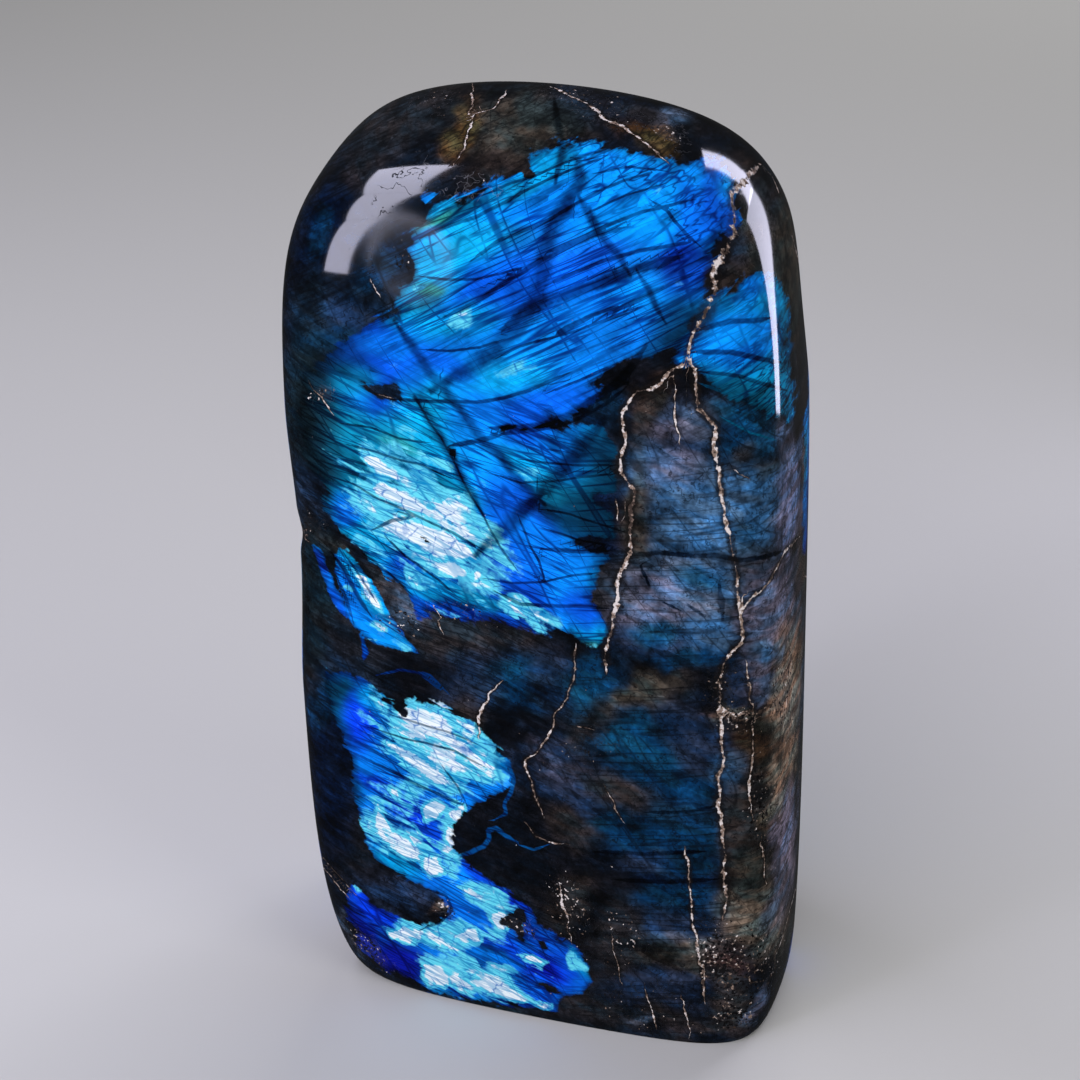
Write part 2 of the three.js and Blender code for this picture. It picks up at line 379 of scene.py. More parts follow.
# colour, x, y, length, width, lean, strength
BODY_PATCHES = [
    (SMOKE, 400, 125, 110, 50, 30, 0.8),
    (OLIVE, 520, 125, 130, 60, 5, 0.9),
    (BROWN_SMOKE, 500, 170, 70, 40, 20, 0.6),
    (BROWN_SMOKE, 355, 175, 60, 30, 50, 0.5),
    (SMOKE, 640, 110, 50, 14, -20, 0.5),
    (GREY_BLUE, 674, 120, 30, 20, 0, 0.7),
    (BLUE_BLACK, 325, 235, 110, 50, 70, 0.9),
    (DIM_TEAL, 318, 235, 50, 24, 80, 0.6),
    (SLATE, 335, 318, 70, 50, -10, 0.9),
    (DIM_TEAL, 380, 265, 60, 34, 40, 0.8),
    (TEAL_BLACK, 310, 400, 240, 50, 88, 0.8),
    (DIM_TEAL, 345, 345, 70, 30, -10, 0.7),
    (SLATE, 318, 500, 90, 40, -60, 0.6),
    (TEAL_BLACK, 318, 590, 150, 46, 85, 0.8),
    (SLATE, 350, 530, 70, 30, -50, 0.6),
    (SMOKE, 350, 640, 90, 30, -40, 0.5),
    (OLIVE, 340, 560, 60, 16, -55, 0.6),
    (SMOKE, 460, 640, 160, 50, -12, 0.9),
    (GREY_BLUE, 402, 602, 60, 40, -50, 0.8),
    (BROWN_SMOKE, 385, 585, 50, 30, -50, 0.7),
    (SLATE, 500, 668, 100, 40, -10, 0.7),
    (DIM_TEAL, 520, 682, 90, 56, 0, 1.0),
    (TEAL_GLOW, 515, 670, 40, 24, 0, 0.5),
    (SLATE, 550, 675, 40, 60, 0, 0.6),
    (SLATE, 470, 690, 60, 40, 0, 0.6),
    (NEAR_BLACK, 505, 725, 60, 50, 0, 0.7),
    (BROWN_SMOKE, 470, 720, 30, 50, 0, 0.6),
    (TEAL_GLOW, 590, 690, 50, 60, 20, 0.9),
    (DIM_TEAL, 605, 665, 60, 40, 0, 0.8),
    (OLIVE, 630, 700, 100, 34, 25, 1.0),
    (DIM_TEAL, 640, 720, 60, 24, -20, 0.8),
    (OLIVE, 660, 695, 60, 30, 10, 0.7),
    (NEAR_BLACK, 590, 400, 90, 40, 35, 0.8),
    (DIM_TEAL, 610, 410, 50, 30, 35, 0.6),
    (BLUE_BLACK, 600, 520, 50, 220, 0, 0.9),
    (SMOKE, 612, 460, 24, 60, 0, 0.7),
    (BROWN_SMOKE, 598, 585, 40, 60, 20, 0.8),
    (NEAR_BLACK, 660, 365, 90, 40, 30, 0.8),
    (DARK_GOLD, 655, 395, 60, 34, 30, 0.5),
    (BROWN_SMOKE, 645, 430, 30, 70, 0, 0.9),
    (SLATE, 680, 435, 80, 50, 60, 0.9),
    (PALE_LAVENDER, 672, 425, 60, 30, 60, 0.7),
    (GREY_BLUE, 700, 420, 50, 40, 0, 0.5),
    (LAVENDER, 645, 470, 40, 70, 0, 0.5),
    (BROWN_SMOKE, 640, 520, 36, 70, 0, 1.0),
    (LAVENDER, 690, 515, 80, 90, 0, 1.0),
    (PALE_LAVENDER, 672, 470, 70, 36, 0, 0.6),
    (LAVENDER, 745, 510, 90, 90, 0, 0.9),
    (DIM_TEAL, 745, 440, 80, 70, 0, 0.9),
    (TEAL_GLOW, 735, 412, 60, 20, -20, 0.8),
    (TEAL_GLOW, 760, 445, 60, 18, 25, 0.8),
    (BROWN_SMOKE, 742, 455, 50, 20, 40, 0.8),
    (OLIVE, 768, 470, 40, 16, 0, 0.6),
    (TEAL_GLOW, 745, 535, 30, 30, 0, 0.5),
    (EDGE_LAVENDER, 790, 500, 120, 26, 88, 0.9),
    (OLIVE, 641, 505, 22, 120, 0, 0.8),
    (PALE_LAVENDER, 785, 445, 50, 24, 88, 0.7),
    (GREY_BLUE, 670, 590, 130, 56, -4, 1.0),
    (EDGE_LAVENDER, 655, 590, 60, 30, -4, 0.5),
    (LAVENDER, 720, 580, 60, 40, 0, 0.6),
    (TEAL_GLOW, 700, 582, 60, 24, -20, 0.9),
    (BROWN_SMOKE, 760, 565, 60, 16, 0, 0.8),
    (PALE_LAVENDER, 650, 615, 80, 24, 0, 0.7),
    (SLATE, 650, 640, 90, 34, -5, 1.0),
    (TEAL_GLOW, 660, 632, 50, 24, -5, 0.8),
    (LAVENDER, 712, 635, 50, 34, -5, 0.7),
    (NEAR_BLACK, 625, 655, 60, 40, 0, 0.7),
    (DIM_TEAL, 690, 658, 90, 16, 0, 0.9),
    (PALE_LAVENDER, 772, 605, 60, 80, 0, 1.0),
    (PALE_LAVENDER, 762, 640, 50, 60, 0, 0.8),
    (LAVENDER, 765, 650, 40, 22, 0, 0.9),
    (PALE_LAVENDER, 760, 685, 40, 40, 0, 0.7),
    (SLATE, 740, 690, 36, 40, 0, 0.8),
    (SLATE, 680, 715, 60, 50, 0, 0.8),
    (BROWN_SMOKE, 735, 722, 70, 24, -5, 0.8),
    (TAN, 735, 715, 60, 12, -10, 0.6),
    (SLATE, 560, 765, 90, 50, -20, 0.9),
    (PALE_LAVENDER, 545, 760, 60, 24, -50, 0.4),
    (BROWN_SMOKE, 590, 745, 40, 40, -30, 0.6),
    (DIM_TEAL, 645, 755, 100, 80, -30, 0.9),
    (TEAL_GLOW, 625, 740, 60, 40, 20, 0.6),
    (TEAL_GLOW, 665, 765, 60, 24, -40, 0.5),
    (SLATE, 700, 740, 60, 70, 0, 0.8),
    (LAVENDER, 735, 770, 40, 40, 0, 0.5),
    (BROWN_SMOKE, 620, 790, 110, 30, -20, 0.9),
    (SLATE, 570, 795, 60, 30, -30, 0.8),
    (DIM_TEAL, 690, 792, 80, 34, 0, 0.9),
    (DIM_TEAL, 640, 832, 110, 36, 0, 0.8),
    (DIM_TEAL, 665, 835, 150, 60, 0, 0.9),
    (TEAL_GLOW, 600, 822, 36, 16, 0, 0.6),
    (BROWN_SMOKE, 570, 830, 70, 30, -40, 0.8),
    (NEAR_BLACK, 550, 860, 90, 60, -30, 0.8),
    (SLATE, 640, 862, 110, 26, 0, 0.9),
    (DIM_TEAL, 690, 865, 70, 50, 0, 0.9),
    (BLUE_BLACK, 690, 885, 120, 22, 0, 0.8),
    (DIM_TEAL, 680, 905, 90, 34, 0, 1.0),
    (SLATE, 680, 925, 110, 34, 0, 0.9),
    (GREY_BLUE, 665, 937, 80, 14, 0, 0.5),
    (NEAR_BLACK, 600, 900, 70, 120, 0, 0.9),
    (BROWN_SMOKE, 570, 900, 40, 60, -30, 0.8),
    (SMOKE, 620, 935, 50, 60, 0, 0.7),
    (SLATE, 670, 985, 120, 40, 0, 0.7),
    (OLIVE, 680, 955, 80, 30, -10, 0.7),
    (SMOKE, 610, 1010, 90, 24, -8, 0.5),
    (BROWN_SMOKE, 735, 850, 36, 130, 0, 0.9),
    (BROWN_SMOKE, 760, 780, 40, 130, 0, 0.9),
    (DARK_GOLD, 755, 740, 40, 60, 0, 0.5),
    (TAN, 790, 690, 130, 30, 88, 1.0),
    (TAN, 782, 785, 100, 22, 82, 1.0),
    (GOLD, 800, 655, 60, 10, 80, 0.7),
    (GOLD, 772, 822, 30, 12, 80, 0.6),
    (OLIVE, 757, 870, 50, 60, 0, 0.8),
    (PALE_LAVENDER, 785, 845, 110, 28, 84, 1.0),
    (TAN, 786, 850, 90, 16, 84, 0.5),
    (EDGE_LAVENDER, 788, 840, 90, 20, 84, 0.7),
    (BEIGE, 757, 922, 60, 70, 70, 1.0),
    (OLIVE, 745, 900, 60, 30, 60, 0.5),
    (PALE_LAVENDER, 778, 900, 60, 20, 70, 0.6),
    (BEIGE, 705, 945, 40, 24, 0, 0.6),
    (RUST, 725, 960, 60, 50, -80, 0.9),
    (BROWN_SMOKE, 730, 1000, 80, 40, -70, 0.8),
    (PALE_LAVENDER, 755, 1005, 40, 14, 60, 0.6),
    (BROWN_SMOKE, 690, 1022, 100, 16, -5, 0.5),
    (GREY_BLUE, 640, 1018, 30, 8, -10, 0.7),
    (BLUE_BLACK, 335, 760, 200, 50, 88, 0.9),
    (DIM_TEAL, 322, 700, 60, 30, 80, 0.7),
    (SLATE, 400, 895, 80, 36, -15, 1.0),
    (TAN, 437, 907, 24, 9, 50, 0.5),
    (GREY_BLUE, 345, 930, 60, 10, -60, 0.5),
    (TEAL_BLACK, 490, 1012, 180, 14, -12, 0.9),
    (OLIVE, 790, 270, 180, 44, 82, 1.0),
    (OLIVE, 752, 235, 36, 90, 0, 0.9),
    (SLATE, 742, 250, 20, 50, 0, 0.5),
    (SMOKE, 790, 390, 80, 20, 88, 0.9),
    (BROWN_SMOKE, 735, 285, 40, 50, 60, 0.7),
    (BLUE_BLACK, 712, 235, 40, 70, 0, 0.8),
    (SLATE, 690, 285, 30, 50, 0, 0.8),
    (DIM_TEAL, 650, 300, 40, 80, 20, 0.7),
    (GOLD, 460, 135, 60, 26, 68, 1.0),
    (GOLD, 660, 143, 36, 30, -40, 0.9),
    (DARK_GOLD, 640, 132, 60, 16, -25, 0.8),
    (GOLD, 668, 135, 24, 14, -40, 0.6),
]
# Broad clouds, which show most on the far side: colour, size in mm, seed, how rare.
BODY_CLOUDS = [
    (SMOKE, 16, 21, 0.45),
    (SLATE, 12, 22, 0.5),
    (DIM_TEAL, 20, 23, 0.55),
    (BROWN_SMOKE, 9, 24, 0.6),
    (LAVENDER, 15, 25, 0.72),
    (TAN, 14, 26, 0.85),
]
CLOUD_EDGE = 0.3
CLOUD_UPRIGHT = (1, 1, 0.7)
CLOUD_STRENGTH = 0.9
LESS_IN_FRONT = 0.75
BODY_WANDER = 11
body_at = seen_at + BODY_WANDER * wander(places, 4, 51, axes=2)

body = np.tile(NEAR_BLACK, (len(places), 1))
for colour, size, seed, rare in BODY_CLOUDS:
    share = smooth_step(rare, rare + CLOUD_EDGE, mottle(places * CLOUD_UPRIGHT, size, seed))
    body += (colour - body) * (share * (CLOUD_STRENGTH - LESS_IN_FRONT * shown))[:, None]
lay_on(body, BODY_PATCHES, body_at)


# The colour play: thin parallel layers in the feldspar mirror blue light where they face
# the viewer. That mirrored light is painted into the base colour here, as a painted
# reflection that shows from every side. It fills whole fields that end sharply where the
# layers end or turn, and runs up to ice white where they lie squarest.
CYAN = linear("#05a7de")
AZURE = linear("#069cff")
MID_AZURE = linear("#0581f0")
DEEP_AZURE = linear("#0562e4")
ROYAL = linear("#0449c0")
PURE_ROYAL = linear("#043ee4")
ULTRAMARINE = linear("#06148f")
TEAL_CYAN = linear("#0a8cb0")
SEA = linear("#04506e")
NIGHT_TEAL = linear("#042a44")
CYAN_ICE = linear("#66dcee")
ICE = linear("#f0f9fa")
SEA_GREEN = linear("#3aa88c")

# Each field: how soft its edge is, in pixels, and its outline.
FLASH_FIELDS = {
    "upper field": (17, [
        (424, 198), (450, 203), (474, 196), (490, 184), (508, 176), (522, 168), (532, 152), (550, 147),
        (576, 143), (600, 150), (626, 154), (652, 159), (680, 160), (714, 158), (736, 176), (734, 206),
        (726, 234), (714, 262), (706, 290), (694, 318), (680, 340), (662, 352), (645, 360),
        (618, 362), (604, 378), (596, 396), (572, 414), (548, 424), (560, 430), (596, 428), (612, 446),
        (616, 480), (612, 520), (618, 548), (600, 570), (596, 600), (606, 630), (598, 648), (584, 646),
        (566, 634), (540, 632), (508, 626), (488, 618), (462, 616), (440, 608), (420, 616), (408, 606),
        (400, 590), (386, 582), (372, 572), (356, 556), (338, 530), (322, 492), (308, 466), (300, 436),
        (298, 404), (306, 374), (334, 348), (366, 326), (396, 312), (402, 292), (410, 278), (404, 262),
        (410, 240), (400, 226), (410, 212)]),
    "right field": (14, [
        (672, 360), (676, 336), (692, 316), (712, 300), (734, 290), (744, 274), (776, 276), (790, 300),
        (792, 350), (792, 420), (764, 412), (738, 402), (712, 388), (692, 372)]),
    "patch beside the vein": (8, [(720, 204), (734, 208), (742, 226), (732, 240), (718, 234)]),
    "left strips": (5, [
        (336, 548), (350, 556), (362, 568), (372, 582), (382, 598), (392, 614), (400, 628), (408, 640),
        (418, 654), (402, 652), (390, 648), (374, 644), (360, 634), (350, 622), (344, 606), (340, 590),
        (336, 572), (334, 558)]),
    "splinter beside them": (3, [
        (308, 544), (318, 548), (330, 570), (340, 598), (348, 622), (340, 614), (328, 588), (318, 566)]),
    "splinter below them": (3, [(356, 628), (364, 636), (370, 654), (364, 660)]),
    "lower field": (9, [
        (326, 672), (352, 674), (366, 684), (384, 700), (396, 706), (412, 698), (436, 704), (454, 712),
        (474, 724), (490, 742), (506, 762), (512, 780), (498, 796), (470, 806), (456, 818), (452, 838),
        (454, 852), (466, 862), (480, 872), (500, 888), (520, 898), (532, 908), (540, 922), (556, 934),
        (576, 948), (590, 966), (592, 982), (580, 995), (562, 996), (552, 1008), (522, 1008), (490, 1002),
        (450, 996), (420, 988), (400, 980), (378, 968), (360, 950), (346, 920), (344, 894), (356, 888),
        (372, 902), (392, 914), (410, 922), (430, 924), (448, 914), (440, 892), (424, 886), (404, 878),
        (384, 866), (372, 848), (364, 826), (356, 800), (352, 778), (350, 758), (342, 740), (330, 706)]),
}
# colour, x, y, length, width, lean, strength
FLASH_PATCHES = [
    (MID_AZURE, 600, 290, 300, 260, 20, 1.0),
    (AZURE, 632, 225, 120, 70, 15, 1.0),
    (AZURE, 610, 178, 90, 34, 20, 0.9),
    (CYAN, 545, 170, 80, 40, 25, 0.8),
    (MID_AZURE, 535, 205, 70, 34, 25, 0.7),
    (TEAL_CYAN, 505, 195, 60, 24, 20, 0.7),
    (SEA, 515, 236, 50, 34, 0, 0.7),
    (CYAN, 450, 255, 110, 70, 30, 1.0),
    (TEAL_CYAN, 445, 215, 90, 24, 22, 0.8),
    (CYAN, 430, 305, 90, 50, 10, 0.9),
    (TEAL_CYAN, 415, 290, 40, 40, 0, 0.7),
    (DEEP_AZURE, 500, 290, 130, 60, 25, 1.0),
    (DEEP_AZURE, 585, 268, 120, 50, 22, 0.9),
    (ROYAL, 475, 292, 60, 24, 30, 0.7),
    (DEEP_AZURE, 695, 200, 40, 110, 0, 0.8),
    (ROYAL, 665, 262, 60, 20, 10, 0.8),
    (AZURE, 700, 175, 50, 30, 0, 0.7),
    (AZURE, 640, 292, 60, 60, -60, 0.8),
    (CYAN, 460, 325, 80, 40, 20, 0.8),
    (MID_AZURE, 440, 352, 110, 34, 10, 0.9),
    (AZURE, 530, 358, 150, 60, 22, 1.0),
    (MID_AZURE, 600, 335, 110, 60, 22, 0.8),
    (CYAN, 505, 380, 90, 34, 10, 0.8),
    (DEEP_AZURE, 560, 402, 110, 34, 18, 0.9),
    (DEEP_AZURE, 450, 368, 60, 24, -30, 0.8),
    (ROYAL, 400, 362, 80, 50, -10, 0.8),
    (MID_AZURE, 385, 345, 60, 24, -10, 0.6),
    (ROYAL, 385, 410, 60, 34, -20, 0.8),
    (SEA, 325, 400, 70, 70, 0, 0.9),
    (NIGHT_TEAL, 312, 430, 40, 90, 0, 0.9),
    (TEAL_CYAN, 350, 430, 60, 40, -10, 0.9),
    (TEAL_CYAN, 355, 378, 50, 30, -10, 0.7),
    (CYAN, 430, 425, 80, 60, -40, 0.9),
    (TEAL_CYAN, 395, 435, 80, 34, -20, 0.8),
    (SEA, 335, 470, 50, 60, -40, 0.9),
    (MID_AZURE, 475, 425, 60, 50, -50, 0.8),
    (AZURE, 480, 465, 90, 50, -45, 0.8),
    (CYAN, 530, 468, 70, 30, -40, 0.9),
    (MID_AZURE, 560, 450, 60, 40, -20, 0.8),
    (NIGHT_TEAL, 592, 450, 50, 50, 0, 0.9),
    (DEEP_AZURE, 505, 505, 60, 50, -40, 0.8),
    (TEAL_CYAN, 460, 500, 60, 40, -40, 0.7),
    (SEA, 575, 500, 80, 50, -25, 0.9),
    (TEAL_CYAN, 555, 495, 40, 20, -20, 0.6),
    (NIGHT_TEAL, 600, 535, 70, 60, 0, 0.9),
    (MID_AZURE, 530, 535, 50, 40, 0, 0.9),
    (DEEP_AZURE, 515, 570, 60, 40, 0, 0.7),
    (MID_AZURE, 565, 560, 80, 50, -10, 0.9),
    (DEEP_AZURE, 580, 608, 60, 44, -20, 1.0),
    (CYAN, 365, 540, 60, 90, -30, 0.9),
    (CYAN, 440, 590, 90, 24, -15, 0.8),
    (DEEP_AZURE, 345, 510, 30, 50, -40, 0.8),
    (DEEP_AZURE, 415, 600, 40, 14, -10, 0.9),
    (TEAL_CYAN, 480, 600, 60, 20, -20, 0.8),
    (MID_AZURE, 740, 340, 90, 60, 0, 1.0),
    (AZURE, 730, 335, 60, 24, 0, 0.7),
    (SEA, 745, 385, 90, 24, -15, 0.9),
    (MID_AZURE, 750, 288, 30, 30, 0, 1.0),
    (DEEP_AZURE, 728, 220, 30, 50, 0, 1.0),
    (MID_AZURE, 350, 600, 120, 40, -60, 1.0),
    (CYAN, 372, 596, 90, 18, -58, 1.0),
    (TEAL_CYAN, 398, 640, 40, 20, -40, 0.9),
    (AZURE, 385, 635, 60, 24, -40, 0.9),
    (MID_AZURE, 430, 780, 240, 200, 0, 1.0),
    (SEA, 330, 700, 60, 60, 80, 0.9),
    (SEA, 348, 690, 40, 20, 0, 0.8),
    (PURE_ROYAL, 360, 722, 60, 30, 85, 1.0),
    (CYAN, 375, 700, 30, 30, 0, 0.7),
    (CYAN, 440, 735, 110, 60, -25, 0.9),
    (TEAL_CYAN, 485, 770, 30, 40, -60, 0.8),
    (PURE_ROYAL, 380, 785, 50, 14, -25, 0.9),
    (PURE_ROYAL, 415, 812, 60, 34, -25, 1.0),
    (PURE_ROYAL, 435, 838, 30, 24, 0, 0.8),
    (SEA, 358, 830, 24, 60, -70, 0.7),
    (CYAN, 395, 860, 60, 24, -30, 0.9),
    (MID_AZURE, 470, 885, 70, 60, -30, 1.0),
    (PURE_ROYAL, 480, 872, 60, 12, -35, 0.9),
    (PURE_ROYAL, 520, 905, 50, 16, -30, 0.9),
    (MID_AZURE, 470, 950, 160, 60, -20, 1.0),
    (PURE_ROYAL, 375, 905, 60, 30, -45, 1.0),
    (ULTRAMARINE, 362, 930, 50, 24, -60, 0.9),
    (ULTRAMARINE, 395, 962, 60, 36, -30, 1.0),
    (ULTRAMARINE, 410, 968, 40, 40, -30, 0.9),
    (PURE_ROYAL, 462, 985, 40, 20, -20, 1.0),
    (PURE_ROYAL, 545, 970, 50, 30, -20, 1.0),
    (ULTRAMARINE, 545, 972, 44, 18, -20, 1.0),
    (PURE_ROYAL, 500, 945, 60, 14, -25, 0.8),
    (DEEP_AZURE, 545, 935, 60, 14, -45, 0.9),
    (CYAN, 576, 965, 40, 12, -60, 0.8),
    (TEAL_BLACK, 300, 430, 50, 220, 0, 1.0),
    (SEA, 326, 440, 30, 150, 0, 0.7),
    (NIGHT_TEAL, 335, 360, 70, 40, 30, 0.7),
    (NIGHT_TEAL, 614, 470, 50, 90, 0, 0.8),
    (ULTRAMARINE, 690, 270, 60, 60, 20, 0.8),
    (ROYAL, 712, 200, 24, 90, 0, 0.8),
    (NIGHT_TEAL, 680, 322, 60, 50, 30, 0.9),
    (NIGHT_TEAL, 655, 350, 90, 24, 30, 0.8),
    (SEA, 790, 350, 30, 110, 0, 0.7),
    (SEA, 740, 398, 110, 24, -18, 0.9),
    (SEA, 715, 305, 60, 24, 20, 0.6),
    (NIGHT_TEAL, 322, 690, 50, 60, 0, 0.9),
    (NIGHT_TEAL, 345, 800, 30, 130, 0, 0.7),
    (ULTRAMARINE, 320, 560, 30, 16, -60, 0.9),
    (ROYAL, 340, 610, 70, 18, -66, 0.9),
    (TEAL_BLACK, 316, 430, 44, 200, 0, 0.8),
    (NIGHT_TEAL, 604, 500, 50, 170, 0, 0.7),
    (NIGHT_TEAL, 574, 512, 70, 40, -10, 0.6),
    (ROYAL, 592, 612, 40, 50, -20, 0.6),
    (TEAL_CYAN, 375, 470, 60, 110, 35, 0.5),
    (SEA_GREEN, 438, 223, 44, 9, 22, 0.8),
    (SEA_GREEN, 428, 288, 24, 12, 0, 0.8),
    (SEA_GREEN, 463, 840, 9, 20, 0, 0.8),
    (SEA_GREEN, 594, 647, 26, 6, -20, 0.8),
    (SEA_GREEN, 402, 448, 50, 16, -20, 0.5),
    (SEA_GREEN, 404, 712, 20, 9, -30, 0.7),
]
# Where the stone is too flawed for the colour, or other mineral lies in it: x, y, length,
# width, lean and strength.
VOIDS = [
    (385, 393, 46, 18, -20, 1.0),
    (428, 543, 20, 6, -38, 0.9),
    (414, 214, 34, 24, 30, 1.0),
    (400, 268, 34, 24, -60, 0.8),
    (515, 926, 34, 18, -30, 0.9),
    (522, 916, 14, 12, 60, 0.8),
    (541, 946, 18, 8, -40, 0.8),
    (548, 989, 26, 7, -10, 0.8),
    (404, 712, 16, 12, -40, 0.8),
    (508, 429, 30, 6, 0, 0.9),
    (540, 427, 40, 5, 10, 0.7),
    (606, 500, 30, 18, -10, 0.7),
    (600, 545, 60, 16, -5, 0.8),
    (453, 455, 12, 5, -80, 0.6),
    (528, 172, 16, 9, -40, 0.8),
    (398, 602, 46, 22, -60, 0.9),
    (366, 564, 56, 8, -48, 0.8),
    (384, 590, 40, 10, -60, 0.8),
    (660, 190, 30, 16, -30, 0.5),
]
# Ice-white blocks: how bright each is, and its outline.
ICE_BLOCKS = [
    (1.0, [(360, 452), (376, 456), (398, 470), (404, 480), (388, 484), (374, 476), (362, 462)]),
    (1.0, [(368, 482), (386, 480), (404, 492), (422, 502), (442, 512), (450, 522), (432, 520),
           (408, 508), (388, 502), (374, 494)]),
    (1.0, [(390, 528), (410, 520), (432, 522), (452, 532), (470, 544), (474, 554), (464, 560), (446, 556),
           (430, 550), (412, 546), (400, 540)]),
    (1.0, [(432, 562), (456, 560), (466, 566), (470, 578), (452, 578), (438, 572)]),
    (0.9, [(470, 568), (484, 566), (484, 580), (472, 584)]),
    (0.9, [(404, 570), (418, 578), (432, 592), (420, 590), (406, 580)]),
    (0.9, [(504, 602), (520, 604), (540, 618), (550, 628), (536, 626), (512, 614)]),
    (0.9, [(372, 694), (384, 700), (392, 714), (384, 718), (374, 708)]),
    (0.9, [(412, 708), (436, 708), (454, 722), (446, 728), (420, 718)]),
    (1.0, [(376, 738), (396, 740), (420, 752), (440, 770), (452, 784), (436, 786), (412, 768), (388, 752)]),
    (0.9, [(428, 738), (450, 742), (462, 756), (452, 762), (432, 752)]),
    (1.0, [(420, 806), (436, 798), (448, 806), (438, 820), (422, 822)]),
    (1.0, [(448, 808), (464, 806), (462, 822), (450, 816)]),
    (1.0, [(372, 802), (384, 808), (390, 822), (404, 834), (420, 846), (424, 862), (406, 862),
           (388, 848), (376, 828)]),
    (1.0, [(424, 856), (440, 858), (444, 872), (430, 878), (420, 868)]),
    (0.8, [(384, 782), (400, 788), (404, 800), (390, 800)]),
    (1.0, [(446, 822), (458, 828), (458, 848), (446, 856), (442, 838)]),
    (1.0, [(386, 930), (404, 926), (424, 930), (426, 944), (408, 944), (390, 938)]),
    (1.0, [(452, 930), (474, 928), (486, 938), (482, 946), (462, 944)]),
    (1.0, [(484, 914), (504, 910), (512, 922), (508, 934), (496, 932)]),
    (1.0, [(516, 954), (532, 954), (548, 964), (540, 968), (524, 962)]),
    (1.0, [(422, 966), (440, 962), (448, 974), (450, 990), (430, 988), (420, 978)]),
    (1.0, [(462, 974), (484, 978), (508, 986), (530, 1000), (516, 1004), (490, 996), (468, 986)]),
    (0.9, [(484, 960), (506, 962), (520, 972), (506, 976), (488, 970)]),
]
ICE_EDGE = 5
# Soft glows around them: x, y, length, width, lean and strength.
GLOWS = [
    (425, 520, 215, 104, -42, 0.7),
    (370, 545, 70, 40, -60, 0.4),
    (459, 323, 30, 22, 20, 0.6),
    (500, 372, 60, 30, 10, 0.4),
    (436, 222, 50, 12, 22, 0.4),
    (426, 287, 30, 12, 0, 0.4),
    (525, 612, 90, 26, -28, 0.64),
    (592, 646, 30, 10, -20, 0.5),
    (369, 590, 66, 11, -58, 0.85),
    (382, 628, 26, 12, -30, 0.8),
    (373, 640, 20, 6, -20, 0.6),
    (348, 587, 16, 7, -40, 0.45),
    (402, 642, 34, 10, -40, 0.45),
    (433, 742, 140, 96, -28, 0.76),
    (476, 762, 50, 60, -50, 0.6),
    (395, 800, 80, 60, -30, 0.45),
    (400, 840, 90, 46, -35, 0.66),
    (450, 838, 30, 80, 0, 0.6),
    (492, 905, 70, 40, -30, 0.6),
    (442, 936, 140, 34, -8, 0.62),
    (474, 975, 110, 44, -15, 0.68),
    (572, 962, 50, 14, -50, 0.5),
    (540, 1002, 40, 8, -10, 0.5),
    (362, 884, 40, 8, -36, 0.5),
    (530, 475, 50, 14, -38, 0.3),
]
# How far the edges of the fields, of the patches in them and of the voids wander, in
# pixels.
FLASH_WANDER = 3.5
PATCH_WANDER = 8
VOID_WANDER = 6
flash_at = seen_at + FLASH_WANDER * wander(places, 3, 71, axes=2)
patch_at = seen_at + PATCH_WANDER * wander(places, 4, 91, axes=2)

flash = np.zeros(len(places))
for soft, outline in FLASH_FIELDS.values():
    flash = np.maximum(flash, np.clip(0.5 + outline_depth(outline, flash_at) / (2 * soft), 0, 1))
void_at = seen_at + VOID_WANDER * wander(places, 2, 81, axes=2)
for x, y, long, short, lean, strength in VOIDS:
    flash -= strength * dab(void_at, x, y, long, short, lean)

# The far side has fields, voids, tones and glows of its own, of these sizes in mm.
FAR_FIELD = 24
FAR_VOID = 8
FAR_TONE = 15
FAR_GLOW = 13
FAR_UPRIGHT = (1, 1, 0.75)
FAR_WANDER = 7
FAR_VOID_WANDER = 3
strayed = places * FAR_UPRIGHT + FAR_WANDER * wander(places, 11, 161, axes=3)
void_strayed = places + FAR_VOID_WANDER * wander(places, 4, 171, axes=3)
far_voids = smooth_step(0.6, 0.8, mottle(void_strayed, FAR_VOID, 32))
far_flash = smooth_step(0.46, 0.7, mottle(strayed, FAR_FIELD, 31)) * (1.3 - far_voids)
flash = np.where(shown > 0, flash * shown, 0) + (1 - shown) * far_flash

far_tone = mottle(strayed, FAR_TONE, 33)[:, None]
flash_colour = ROYAL + (AZURE - ROYAL) * smooth_step(0.3, 0.55, far_tone)
flash_colour += (CYAN - flash_colour) * smooth_step(0.55, 0.8, far_tone)
lay_on(flash_colour, FLASH_PATCHES, patch_at)

hot = np.zeros(len(places))
for x, y, long, short, lean, strength in GLOWS:
    hot = np.maximum(hot, strength * dab(patch_at, x, y, long, short, lean))
for strength, outline in ICE_BLOCKS:
    block = np.clip(0.5 + outline_depth(outline, flash_at) / (2 * ICE_EDGE), 0, 1)
    hot = np.maximum(hot, strength * block)
far_hot = 0.8 * smooth_step(0.66, 0.86, mottle(strayed, FAR_GLOW, 34))
hot = hot * shown + (1 - shown) * far_hot


